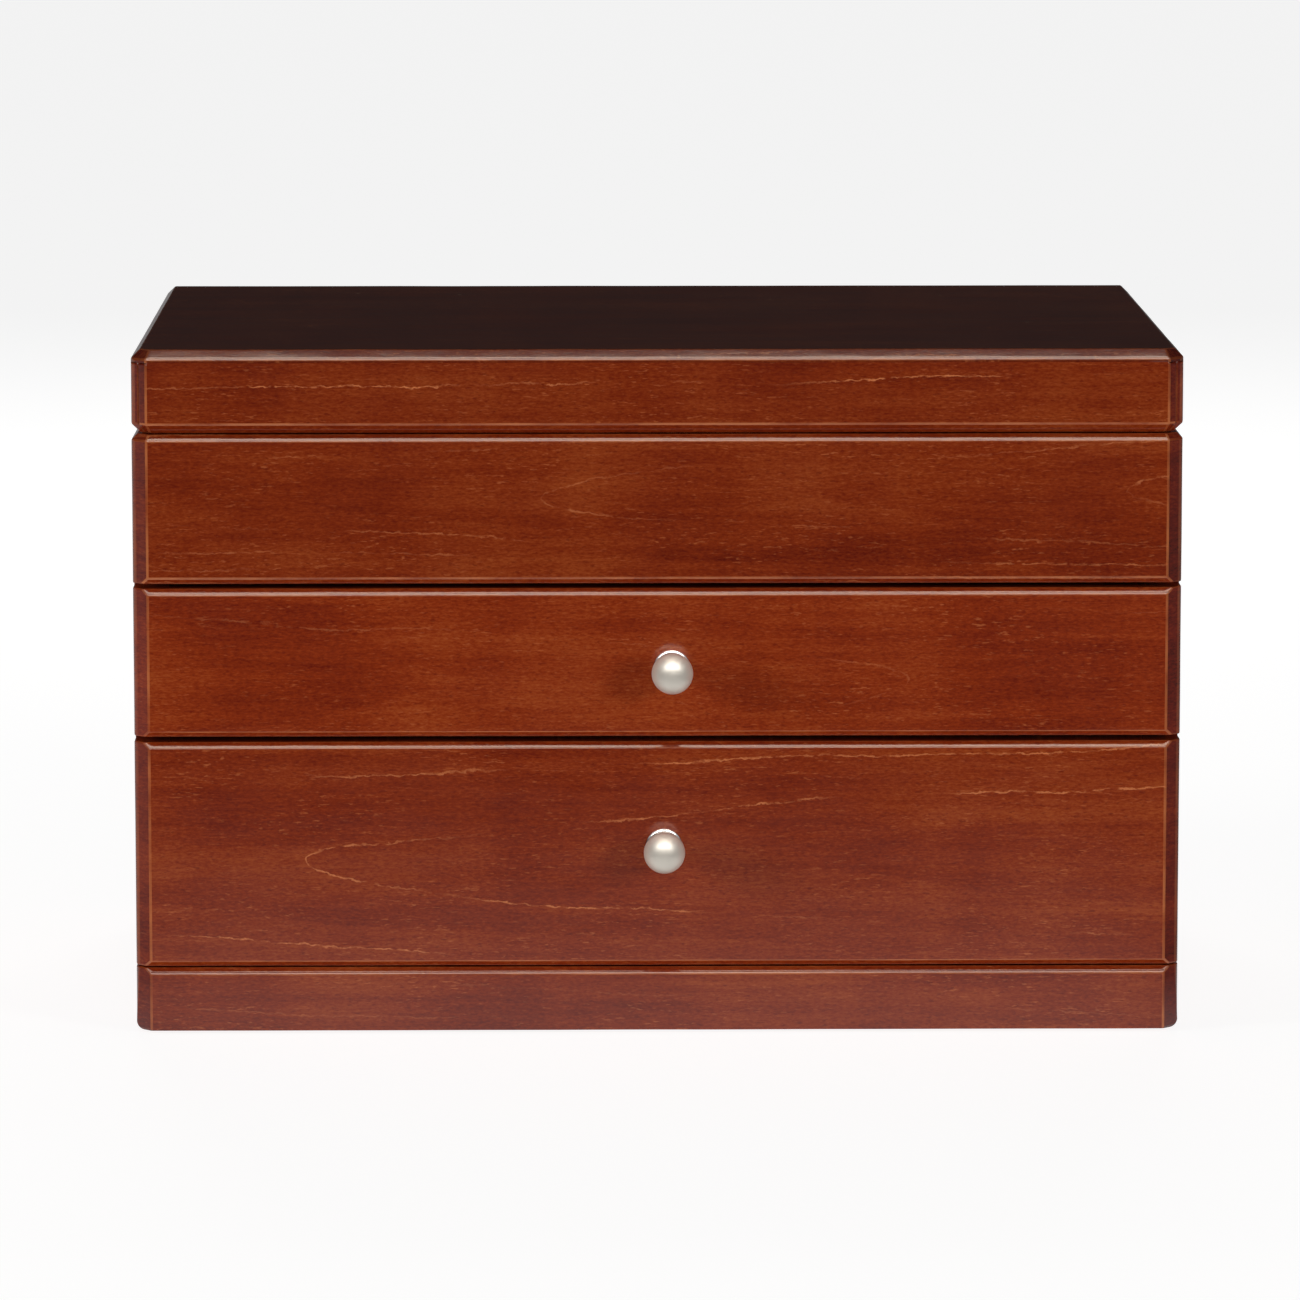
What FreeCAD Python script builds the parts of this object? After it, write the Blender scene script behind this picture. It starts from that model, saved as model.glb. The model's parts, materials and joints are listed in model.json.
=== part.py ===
"""Jewellery chest: hinged lid, lined top tray and two drawers behind chamfered fronts, on a plinth.

The frame is X across the front, Y from the front to the back and Z up, in millimetres. The origin is the
centre of the chest's footprint, knobs and hinges counted, at the level of the felt feet.
"""
import FreeCAD, Part
import os
import re
import Sketcher

SIZES = {
    # carcass
    "overall_width": 300.0,
    "case_depth": 208.0,
    "side_thickness": 10.0,
    "back_thickness": 10.0,
    "base_thickness": 6.0,
    "shelf_thickness": 4.0,
    "shelf_setback": 2.0,
    "tray_floor_rise": 2.0,
    # fronts, from the plinth up
    "felt_height": 1.0,
    "plinth_height": 18.2,
    "plinth_gap": 0.4,
    "lower_face_height": 65.1,
    "drawer_gap": 1.5,
    "upper_face_height": 42.8,
    "front_gap": 1.3,
    "upper_front_height": 42.9,
    "lid_gap": 0.3,
    "lid_height": 23.9,
    "face_thickness": 12.0,
    "closing_gap": 0.4,
    "corner_chamfer": 4.4,
    "edge_chamfer": 1.7,
    "lid_chamfer": 2.65,
    "foot_round": 2.2,
    "back_round": 0.8,
    # lid
    "lid_rail": 10.0,
    "lid_lip": 1.0,
    "tongue_depth": 4.0,
    "tongue_gap": 0.2,
    "lining_board": 2.5,
    "mirror_thickness": 3.0,
    "mirror_width": 226.0,
    "mirror_depth": 136.0,
    "mirror_gap": 0.3,
    "surround_thickness": 5.0,
    # drawer boxes
    "slide_gap": 0.8,
    "back_gap": 3.0,
    "wall_thickness": 8.0,
    "upper_box_rise": 2.5,
    "upper_box_height": 37.5,
    "lower_box_rise": 1.5,
    "lower_box_height": 59.0,
    "bottom_rise": 1.5,
    "bottom_thickness": 3.0,
    "runner_depth": 3.4,
    "runner_height": 8.0,
    "runner_play": 0.4,
    "runner_start": 8.0,
    "runner_end_gap": 4.0,
    "groove_depth": 4.2,
    "groove_start": 6.0,
    # lining and partitions
    "lining_thickness": 1.5,
    "lining_drop": 3.0,
    "partition_thickness": 3.0,
    "partition_drop": 7.0,
    "tray_column": 84.0,
    "tray_row": 88.0,
    "upper_column": 80.0,
    "upper_row": 70.0,
    "lower_column": 96.0,
    "roll_radius": 8.4,
    "roll_play": 1.0,
    # knobs
    "ball_radius": 5.9,
    "ball_centre": 8.3,
    "neck_radius": 3.0,
    "collar_radius": 5.6,
    "collar_thickness": 1.5,
    "screw_radius": 2.0,
    "screw_head_radius": 3.6,
    "screw_head_height": 2.2,
    "screw_grip": 7.0,
    "upper_knob_offset": 4.0,
    "lower_knob_offset": 1.75,
    "upper_knob_drop": 1.75,
    "lower_knob_rise": 2.0,
    # hinges
    "hinge_offset": 88.0,
    "hinge_width": 28.0,
    "hinge_out": 1.0,
    "knuckle_radius": 1.9,
    "knuckle_gap": 0.2,
    "pin_radius": 0.9,
    "pin_play": 0.05,
    "leaf_thickness": 1.0,
    "leaf_depth": 8.0,
    "leaf_setback": 1.8,
    "stop_reach": 3.4,
    "stop_offset": 0.6,
    "stop_angle": 101.0,
    "hinge_screw_radius": 1.0,
    "hinge_head_radius": 1.9,
    "hinge_screw_length": 7.0,
    "hinge_screw_spread": 9.0,
    "hinge_screw_inset": 5.6,
    # small parts under and behind
    "felt_radius": 6.0,
    "block_leg": 27.0,
    "felt_inset": 7.8,
    "bumper_radius": 4.0,
    "bumper_thickness": 2.4,
    "bumper_offset": 100.0,
}

ROLL_COUNT = 9

# Levels and planes, as expressions of the sizes above.
FRONT = "((ball_centre + ball_radius + collar_thickness - hinge_out - stop_reach - case_depth) / 2)"
BACK = f"({FRONT} + case_depth)"
SIDE_FRONT = f"({FRONT} + face_thickness + closing_gap)"
INNER_BACK = f"({BACK} - back_thickness)"
INNER_DEPTH = "(case_depth - face_thickness - closing_gap - back_thickness)"
INNER_HALF = "(overall_width / 2 - side_thickness)"
INNER_WIDTH = "(overall_width - 2 * side_thickness)"
PLINTH_TOP = "(felt_height + plinth_height)"
LOWER_FACE_LOW = f"({PLINTH_TOP} + plinth_gap)"
UPPER_FACE_LOW = f"({LOWER_FACE_LOW} + lower_face_height + drawer_gap)"
UPPER_FRONT_LOW = f"({UPPER_FACE_LOW} + upper_face_height + front_gap)"
RIM = f"({UPPER_FRONT_LOW} + upper_front_height)"
LID_LOW = f"({RIM} + lid_gap)"
LID_TOP = f"({LID_LOW} + lid_height)"
TRAY_FLOOR_TOP = f"({UPPER_FRONT_LOW} + tray_floor_rise + shelf_thickness)"
SHELF_LOW = f"({UPPER_FACE_LOW} - (drawer_gap + shelf_thickness) / 2)"

doc = FreeCAD.newDocument("JewelleryChest")
sheet = doc.addObject("Spreadsheet::Sheet", "Sizes")
for row, (alias, amount) in enumerate(SIZES.items(), 1):
    sheet.set(f"A{row}", alias)
    sheet.set(f"B{row}", str(amount))
    sheet.setAlias(f"B{row}", alias)
doc.recompute()

nodes = []


# ---------------------------------------------------------------- helpers

def sized(text):
    """The expression with each alias read from the sheet."""
    return re.sub(r"[a-z][a-z_]+", lambda word: "Sizes." + word.group(), str(text))


def value(text):
    """What an expression of the sizes comes to, in millimetres."""
    return float(sheet.evalExpression(sized(text)))


def bind(item, prop, text):
    item.setExpression(prop, sized(text))


def place(item, x, y, z):
    for axis, text in zip("xyz", (x, y, z)):
        bind(item, f"Placement.Base.{axis}", text)
    return item


def node(item, label):
    """Names a finished sub-part. It is written to parts/ under this label."""
    item.Label = label
    nodes.append(item)
    return item


def box(low, size, name="Board"):
    """A board from its lowest corner and its size along X, Y and Z."""
    item = doc.addObject("Part::Box", name)
    for prop, text in zip(("Length", "Width", "Height"), size):
        bind(item, prop, text)
    return place(item, *low)


def cylinder(start, radius, length, along="Z", name="Round"):
    """A round bar that starts at a point and runs along an axis."""
    item = doc.addObject("Part::Cylinder", name)
    turn = {"X": ((0, 1, 0), 90), "Y": ((1, 0, 0), -90), "Z": ((0, 0, 1), 0)}[along]
    item.Placement.Rotation = FreeCAD.Rotation(FreeCAD.Vector(*turn[0]), turn[1])
    bind(item, "Radius", radius)
    bind(item, "Height", length)
    return place(item, *start)


def group(*items):
    """Separate solids held as one object."""
    item = doc.addObject("Part::Compound", "Group")
    item.Links = list(items)
    return item


def fuse(*items):
    item = doc.addObject("Part::MultiFuse", "Joined")
    item.Shapes = list(items)
    return item


def cut(base, *tools):
    for tool in tools:
        item = doc.addObject("Part::Cut", "Trimmed")
        item.Base = base
        item.Tool = tool
        base = item
    return base


def outline_sketch(body, corners):
    """A closed outline on the body's XY plane, each corner a pair of expressions."""
    sketch = body.newObject("Sketcher::SketchObject", "Outline")
    plane = next(o for o in body.Origin.OriginFeatures if o.Role == "XY_Plane")
    sketch.AttachmentSupport = [(plane, "")]
    sketch.MapMode = "FlatFace"
    spots = [FreeCAD.Vector(value(u), value(v), 0) for u, v in corners]
    following = spots[1:] + spots[:1]
    for start, end in zip(spots, following):
        sketch.addGeometry(Part.LineSegment(start, end), False)
    for i, (spot, corner) in enumerate(zip(spots, corners)):
        sketch.addConstraint(Sketcher.Constraint("Coincident", i, 2, (i + 1) % len(corners), 1))
        for kind, text, now in zip(("DistanceX", "DistanceY"), corner, (spot.x, spot.y)):
            at = sketch.addConstraint(Sketcher.Constraint(kind, -1, 1, i, 1, now))
            sketch.renameConstraint(at, f"{kind}{i}")
            bind(sketch, f"Constraints.{kind}{i}", text)
    return sketch


def pad(body, corners, height, downwards=False):
    feature = body.newObject("PartDesign::Pad", "Pad")
    feature.Profile = outline_sketch(body, corners)
    feature.Reversed = downwards
    bind(feature, "Length", height)
    doc.recompute()
    return feature


def board_body(corners, height, low):
    """A body whose plan outline is padded upwards from the given lowest corner."""
    body = doc.addObject("PartDesign::Body", "Board")
    pad(body, corners, height)
    return place(body, *low)


def dress(body, kind, size, wanted):
    """Chamfers or fillets the edges whose two ends both satisfy the test."""
    tip = body.Tip
    names = [f"Edge{i}" for i, edge in enumerate(tip.Shape.Edges, 1)
             if all(wanted(vertex.Point) for vertex in edge.Vertexes)]
    feature = body.newObject(f"PartDesign::{kind}", kind)
    feature.Base = (tip, names)
    bind(feature, "Radius" if kind == "Fillet" else "Size", size)
    doc.recompute()
    return body


def near(a, b):
    return abs(a - b) < 1e-5


# ---------------------------------------------------------------- fronts

def front_corners(thickness):
    """Plan of a front with its two outer upright edges chamfered."""
    return [("0", thickness), ("0", "corner_chamfer"), ("corner_chamfer", "0"),
            ("overall_width - corner_chamfer", "0"), ("overall_width", "corner_chamfer"),
            ("overall_width", thickness)]


def front_board(height, low_z, thickness, chamfer_low=True, chamfer_high=True):
    """A full-width front whose level edges carry a narrow chamfer on the outside."""
    body = board_body(front_corners(thickness), height, ("-overall_width / 2", FRONT, low_z))
    top = value(height)
    for wanted, level in ((chamfer_low, 0.0), (chamfer_high, top)):
        if wanted:
            dress(body, "Chamfer", "edge_chamfer", lambda p: near(p.y, 0) and near(p.z, level))
    return body


def make_fixed_fronts():
    thickness = "face_thickness + closing_gap"
    body = board_body(front_corners(thickness), "upper_front_height",
                      ("-overall_width / 2", FRONT, UPPER_FRONT_LOW))
    dress(body, "Chamfer", "edge_chamfer", lambda p: near(p.y, 0) and near(p.z, 0))
    deep, high = value(thickness), value("upper_front_height")
    dress(body, "Chamfer", "edge_chamfer", lambda p: near(p.z, high) and p.y < deep + 1e-5
          and not (near(p.y, deep) and 1 < p.x < value("overall_width") - 1))
    node(body, "upper_front")

    body = front_board("plinth_height", "felt_height", thickness, chamfer_low=False)
    wide = value("overall_width")
    cut_in = value("corner_chamfer")

    def foot_edge(p, side):
        inside = p.x < cut_in + 1e-5 if side < 0 else p.x > wide - cut_in - 1e-5
        return near(p.z, 0) and inside and (p.y > cut_in - 1e-5)

    for side in (-1, 1):
        dress(body, "Fillet", "foot_round", lambda p: foot_edge(p, side))
    node(body, "plinth_front")


# ---------------------------------------------------------------- carcass

def make_side(side, label):
    """An upright side. Its outer face is rounded under, behind and along the rim."""
    depth = f"({BACK} - {SIDE_FRONT})"
    height = "(plinth_height + plinth_gap + lower_face_height + drawer_gap + upper_face_height" \
             " + front_gap + upper_front_height)"
    corners = [("0", "0"), ("side_thickness", "0"), ("side_thickness", depth), ("0", depth)]
    x = "-overall_width / 2" if side < 0 else "overall_width / 2 - side_thickness"
    body = board_body(corners, height, (x, SIDE_FRONT, "felt_height"))
    outer = 0.0 if side < 0 else value("side_thickness")
    back, top = value(depth), value(height)
    dress(body, "Fillet", "foot_round", lambda p: near(p.x, outer) and near(p.z, 0))
    dress(body, "Chamfer", "edge_chamfer", lambda p: near(p.x, outer) and near(p.z, top))
    dress(body, "Fillet", "back_round", lambda p: near(p.x, outer) and near(p.y, back) and p.z > 1)
    node(body, label)


def make_carcass():
    make_side(-1, "left_side")
    make_side(1, "right_side")
    left = f"-{INNER_HALF}"
    node(box((left, SIDE_FRONT, f"{PLINTH_TOP} - base_thickness"),
             (INNER_WIDTH, INNER_DEPTH, "base_thickness")), "base_panel")
    node(box((left, f"{SIDE_FRONT} + shelf_setback", SHELF_LOW),
             (INNER_WIDTH, f"{INNER_DEPTH} - shelf_setback", "shelf_thickness")), "drawer_shelf")
    node(box((left, SIDE_FRONT, f"{TRAY_FLOOR_TOP} - shelf_thickness"),
             (INNER_WIDTH, INNER_DEPTH, "shelf_thickness")), "tray_floor")


def make_back(cutters):
    """The back board, chamfered along the rim and let in for the hinge leaves."""
    height = f"({RIM} - felt_height)"
    corners = [("0", "0"), (INNER_WIDTH, "0"), (INNER_WIDTH, "back_thickness"), ("0", "back_thickness")]
    body = board_body(corners, height, (f"-{INNER_HALF}", INNER_BACK, "felt_height"))
    back, top = value("back_thickness"), value(height)
    dress(body, "Chamfer", "edge_chamfer", lambda p: near(p.y, back) and near(p.z, top))
    node(cut(body, *cutters), "back_panel")


def make_base_details():
    """Glue blocks in the corners of the plinth, each with a felt foot under it."""
    leg = [("0", "0"), ("block_leg", "0"), ("0", "block_leg")]
    height = "plinth_height - base_thickness"
    blocks, feet = [], []
    for quarter, (side, y, inward) in enumerate((("-1", SIDE_FRONT, "1"), ("1", SIDE_FRONT, "1"),
                                                 ("1", INNER_BACK, "-1"), ("-1", INNER_BACK, "-1"))):
        body = doc.addObject("PartDesign::Body", "Block")
        pad(body, leg, height)
        body.Placement.Rotation = FreeCAD.Rotation(FreeCAD.Vector(0, 0, 1), 90 * quarter)
        blocks.append(place(body, f"{side} * {INNER_HALF}", y, "felt_height"))
        feet.append(cylinder((f"{side} * ({INNER_HALF} - felt_inset)", f"{y} + {inward} * felt_inset", "0"),
                             "felt_radius", "felt_height"))
    node(group(*blocks), "corner_blocks")
    node(group(*feet), "felt_feet")


def make_bumpers():
    """Felt dots on the back board that the closed drawers stop against."""
    dots = []
    for side in ("-1", "1"):
        for low, height in ((f"{LOWER_FACE_LOW} + lower_box_rise", "lower_box_height"),
                            (f"{UPPER_FACE_LOW} + upper_box_rise", "upper_box_height")):
            dots.append(cylinder((f"{side} * bumper_offset", f"{INNER_BACK} - bumper_thickness",
                                  f"{low} + {height} / 2"), "bumper_radius", "bumper_thickness", "Y"))
    node(group(*dots), "drawer_bumpers")


# ---------------------------------------------------------------- linings

def lined_well(x, y, z, width, depth, height, label):
    """A floor pad and four wall cards that line a box-shaped well."""
    walls = f"({height} - lining_thickness)"
    up = f"{z} + lining_thickness"
    inner = f"({depth} - 2 * lining_thickness)"
    node(group(
        box((x, y, z), (width, depth, "lining_thickness")),
        box((x, y, up), (width, "lining_thickness", walls)),
        box((x, f"{y} + {depth} - lining_thickness", up), (width, "lining_thickness", walls)),
        box((x, f"{y} + lining_thickness", up), ("lining_thickness", inner, walls)),
        box((f"{x} + {width} - lining_thickness", f"{y} + lining_thickness", up),
            ("lining_thickness", inner, walls)),
    ), label)


def make_tray():
    """The well under the lid: wall lining, partitions and the ring rolls between them."""
    height = f"({RIM} - {TRAY_FLOOR_TOP} - lining_drop)"
    lined_well(f"-{INNER_HALF}", SIDE_FRONT, TRAY_FLOOR_TOP, INNER_WIDTH, INNER_DEPTH, height, "tray_lining")
    low = f"({TRAY_FLOOR_TOP} + lining_thickness)"
    wall = f"({height} - lining_thickness - partition_drop + lining_drop)"
    near_y = f"({SIDE_FRONT} + lining_thickness)"
    length = f"({INNER_DEPTH} - 2 * lining_thickness)"
    inner = f"({INNER_HALF} - lining_thickness)"
    boards = []
    for x in (f"-{inner} + tray_column", f"{inner} - tray_column - partition_thickness"):
        boards.append(box((x, near_y, low), ("partition_thickness", length, wall)))
    for x in (f"-{inner}", f"{inner} - tray_column"):
        boards.append(box((x, f"{near_y} + tray_row", low), ("tray_column", "partition_thickness", wall)))
    node(group(*boards), "tray_partitions")

    start = f"-{inner} + tray_column + partition_thickness + roll_play / 2"
    reach = f"(2 * ({inner} - tray_column - partition_thickness) - roll_play)"
    rolls = []
    for i in range(ROLL_COUNT):
        y = f"{near_y} + {length} * {i + 0.5} / {ROLL_COUNT}"
        rolls.append(cylinder((start, y, f"{low} + roll_radius"), "roll_radius", reach, "X"))
    node(group(*rolls), "ring_rolls")


# ---------------------------------------------------------------- drawers

def make_knob(prefix, x, z):
    """A ball on a short neck, held by a screw from inside the drawer, over a polished collar."""
    screw = fuse(
        cylinder((x, f"{FRONT} - collar_thickness - screw_grip", z), "screw_radius",
                 "collar_thickness + screw_grip + face_thickness + wall_thickness", "Y"),
        cylinder((x, f"{FRONT} + face_thickness + wall_thickness - screw_head_height", z),
                 "screw_head_radius", "screw_head_height", "Y"))
    node(screw, f"{prefix}_knob_screw")
    collar = cylinder((x, f"{FRONT} - collar_thickness", z), "collar_radius", "collar_thickness", "Y")
    node(cut(collar, screw), f"{prefix}_knob_collar")

    body = doc.addObject("PartDesign::Body", "Ball")
    sketch = body.newObject("Sketcher::SketchObject", "Profile")
    plane = next(o for o in body.Origin.OriginFeatures if o.Role == "XY_Plane")
    sketch.AttachmentSupport = [(plane, "")]
    sketch.MapMode = "FlatFace"
    ball, centre, neck = value("ball_radius"), value("ball_centre"), value("neck_radius")
    waist = centre - (ball ** 2 - neck ** 2) ** 0.5
    circle = Part.Circle(FreeCAD.Vector(0, centre, 0), FreeCAD.Vector(0, 0, 1), ball)
    neck_angle = circle.parameter(FreeCAD.Vector(neck, waist, 0))
    tip_angle = circle.parameter(FreeCAD.Vector(0, centre + ball, 0))
    foot, rim = FreeCAD.Vector(0, 0, 0), FreeCAD.Vector(neck, 0, 0)
    sketch.addGeometry(Part.LineSegment(foot, rim), False)
    sketch.addGeometry(Part.LineSegment(rim, FreeCAD.Vector(neck, waist, 0)), False)
    sketch.addGeometry(Part.ArcOfCircle(circle, neck_angle, tip_angle + (6.283185307179586
                                        if tip_angle < neck_angle else 0)), False)
    sketch.addGeometry(Part.LineSegment(FreeCAD.Vector(0, centre + ball, 0), foot), False)
    for first, second in (((0, 2), (1, 1)), ((1, 2), (2, 1)), ((2, 2), (3, 1)), ((3, 2), (0, 1))):
        sketch.addConstraint(Sketcher.Constraint("Coincident", *first, *second))
    sketch.addConstraint(Sketcher.Constraint("Coincident", 0, 1, -1, 1))
    sketch.addConstraint(Sketcher.Constraint("Horizontal", 0))
    sketch.addConstraint(Sketcher.Constraint("Vertical", 1))
    sketch.addConstraint(Sketcher.Constraint("Vertical", 3))
    sketch.addConstraint(Sketcher.Constraint("PointOnObject", 2, 3, -2))
    for kind, where, text in (("DistanceX", (-1, 1, 0, 2), "neck_radius"),
                              ("DistanceY", (-1, 1, 2, 3), "ball_centre"),
                              ("Radius", (2,), "ball_radius")):
        at = sketch.addConstraint(Sketcher.Constraint(kind, *where, value(text)))
        sketch.renameConstraint(at, text)
        bind(sketch, f"Constraints.{text}", text)
    turned = body.newObject("PartDesign::Revolution", "Turned")
    turned.Profile = sketch
    turned.ReferenceAxis = (sketch, ["V_Axis"])
    turned.Angle = 360.0
    body.Placement.Rotation = FreeCAD.Rotation(FreeCAD.Vector(1, 0, 0), 180)
    place(body, x, f"{FRONT} - collar_thickness", z)
    doc.recompute()
    node(cut(body, screw), f"{prefix}_knob")
    return screw


def make_drawer(prefix, face_low, knob_x, knob_z, partitions):
    """A face, a four-walled box with a let-in bottom, its lining, partitions and knob."""
    screw = make_knob(prefix, knob_x, knob_z)
    face = front_board(f"{prefix}_face_height", face_low, "face_thickness")
    node(cut(face, screw), f"{prefix}_drawer_face")

    half = f"({INNER_HALF} - slide_gap)"
    clear = f"({half} - wall_thickness)"
    low = f"({face_low} + {prefix}_box_rise)"
    high = f"{prefix}_box_height"
    start = f"({FRONT} + face_thickness)"
    depth = "(case_depth - face_thickness - back_thickness - back_gap)"
    inner = f"({depth} - 2 * wall_thickness)"

    node(cut(box((f"-{clear}", start, low), (f"2 * {clear}", "wall_thickness", high)), screw),
         f"{prefix}_drawer_box_front")
    node(box((f"-{clear}", f"{start} + {depth} - wall_thickness", low),
             (f"2 * {clear}", "wall_thickness", high)), f"{prefix}_drawer_back")
    groove_low = f"{low} + ({high} - runner_height) / 2 - runner_play"
    for x, groove_x, label in ((f"-{half}", f"-{half}", "left"),
                               (clear, f"{half} - groove_depth", "right")):
        wall = box((x, start, low), ("wall_thickness", depth, high))
        groove = box((groove_x, f"{start} + groove_start", groove_low),
                     ("groove_depth", f"{depth} - groove_start", "runner_height + 2 * runner_play"))
        node(cut(wall, groove), f"{prefix}_drawer_{label}_wall")
    node(box((f"-{clear}", f"{start} + wall_thickness", f"{low} + bottom_rise"),
             (f"2 * {clear}", inner, "bottom_thickness")), f"{prefix}_drawer_bottom")

    floor = f"({low} + bottom_rise + bottom_thickness)"
    well = f"({high} - bottom_rise - bottom_thickness - lining_drop)"
    lined_well(f"-{clear}", f"{start} + wall_thickness", floor, f"(2 * {clear})", inner, well,
               f"{prefix}_drawer_lining")
    wall = f"({well} - lining_thickness - partition_drop + lining_drop)"
    boards = [box((x, y, f"{floor} + lining_thickness"), (width, deep, wall))
              for x, y, width, deep in partitions(f"({clear} - lining_thickness)",
                                                  f"({start} + wall_thickness + lining_thickness)",
                                                  f"({inner} - 2 * lining_thickness)")]
    node(group(*boards), f"{prefix}_drawer_partitions")

    runners = [box((x, f"{SIDE_FRONT} + runner_start", f"{low} + ({high} - runner_height) / 2"),
                   ("runner_depth", f"{INNER_DEPTH} - runner_start - runner_end_gap", "runner_height"))
               for x in (f"-{INNER_HALF}", f"{INNER_HALF} - runner_depth")]
    node(group(*runners), f"{prefix}_drawer_runners")


def upper_partitions(half, start, depth):
    """Two boards from front to back and one cross board in each of the three columns."""
    first = f"-{half} + upper_column"
    second = f"{half} - upper_column - partition_thickness"
    middle = f"(2 * ({half} - upper_column - partition_thickness))"
    boards = [(x, start, "partition_thickness", depth) for x in (first, second)]
    for x, width in ((f"-{half}", "upper_column"), (f"{first} + partition_thickness", middle),
                     (f"{half} - upper_column", "upper_column")):
        boards.append((x, f"{start} + upper_row", width, "partition_thickness"))
    return boards


def lower_partitions(half, start, depth):
    """One board from front to back."""
    return [(f"{half} - lower_column - partition_thickness", start, "partition_thickness", depth)]


# ---------------------------------------------------------------- hinges

def make_hinge(x, side, screws):
    """A stop hinge. Its leaves are built round the pin's centre, set on the rim and drilled for their screws."""
    third = "(hinge_width / 3)"
    inner_leaf = "-(leaf_depth + hinge_out)"
    plate_depth = "leaf_depth - leaf_setback"
    tab_start = "-(hinge_out + leaf_setback)"
    lifted = {"case": "-(lid_gap / 2 + leaf_thickness)", "lid": "lid_gap / 2"}
    made = {}
    for owner, knuckles in (("case", (0, 2)), ("lid", (1,))):
        z = lifted[owner]
        parts = [box(("-hinge_width / 2", inner_leaf, z), ("hinge_width", plate_depth, "leaf_thickness"))]
        for i in knuckles:
            left = f"(-hinge_width / 2 + {i} * {third} + knuckle_gap / 2)"
            length = f"{third} - knuckle_gap"
            parts.append(box((left, tab_start, z), (length, "hinge_out + leaf_setback", "leaf_thickness")))
            parts.append(cylinder((left, "0", "0"), "knuckle_radius", length, "X"))
        if owner == "case":
            parts.append(box(("-hinge_width / 2 + knuckle_gap / 2", "knuckle_radius + 0.15",
                              "-stop_offset - leaf_thickness - 0.4"),
                             ("hinge_width - knuckle_gap", "stop_reach - knuckle_radius - 0.15",
                              "leaf_thickness + 0.4")))
            for i in knuckles:
                parts.append(box((f"-hinge_width / 2 + {i} * {third} + knuckle_gap / 2", "pin_radius",
                                  "-stop_offset - leaf_thickness - 0.4"),
                                 (f"{third} - knuckle_gap", "stop_reach - pin_radius - 0.1",
                                  "leaf_thickness + 0.4")))
        else:
            lug = group(box((f"-{third} / 2 + knuckle_gap / 2", "pin_radius", "-stop_offset"),
                            (f"{third} - knuckle_gap", "stop_reach - pin_radius - 0.1", "stop_offset + 0.1")))
            lug.Placement.Rotation = FreeCAD.Rotation(FreeCAD.Vector(1, 0, 0), 1)
            bind(lug, "Placement.Rotation.Angle", "stop_angle")
            parts.append(lug)
        bore = cylinder(("-hinge_width", "0", "0"), "pin_radius + pin_play", "2 * hinge_width", "X")
        leaf = place(cut(fuse(*parts), bore), x, f"{BACK} + hinge_out", f"{RIM} + lid_gap / 2")
        made[owner] = node(cut(leaf, screws[owner]), f"{side}_hinge_{owner}_leaf")
    pin = cylinder((f"{x} - hinge_width / 2", f"{BACK} + hinge_out", f"{RIM} + lid_gap / 2"),
                   "pin_radius", "hinge_width", "X")
    return made["case"], made["lid"], pin


def make_hinge_screws(driven_down):
    """Two countersunk screws to a leaf, driven down into the back board or up into the lid."""
    screws = []
    for hinge_x in ("-hinge_offset", "hinge_offset"):
        for side in ("-1", "1"):
            x, y = f"{hinge_x} + {side} * hinge_screw_spread", f"{BACK} - hinge_screw_inset"
            head = doc.addObject("Part::Cone", "Head")
            radii = ("hinge_screw_radius", "hinge_head_radius")
            for prop, text in zip(("Radius1", "Radius2"), radii if driven_down else radii[::-1]):
                bind(head, prop, text)
            bind(head, "Height", "leaf_thickness")
            place(head, x, y, f"{RIM} - leaf_thickness" if driven_down else LID_LOW)
            shank = cylinder((x, y, f"{RIM} - leaf_thickness - hinge_screw_length" if driven_down
                              else f"{LID_LOW} + leaf_thickness"), "hinge_screw_radius", "hinge_screw_length")
            screws.append(fuse(head, shank))
    return group(*screws)


def make_hinges():
    """Both hinges and their screws. Returns what has to be let into the back board and the lid."""
    screws = {"case": make_hinge_screws(True), "lid": make_hinge_screws(False)}
    sets = [make_hinge(x, side, screws) for x, side in (("-hinge_offset", "left"), ("hinge_offset", "right"))]
    node(group(*(s[2] for s in sets)), "hinge_pins")
    node(screws["case"], "hinge_case_screws")
    node(screws["lid"], "hinge_lid_screws")
    return [s[0] for s in sets] + [screws["case"]], [s[1] for s in sets] + [screws["lid"]]


# ---------------------------------------------------------------- lid

def lid_rail_body(corners, x, y, outer):
    """A rail of the lid's frame, mitred at its ends and chamfered along its outer lower edge."""
    height = "lid_height - lid_chamfer - lid_lip"
    body = board_body(corners, height, (x, y, LID_LOW))
    dress(body, "Chamfer", "lid_chamfer", lambda p: near(p.z, 0) and outer(p))
    return body


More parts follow.
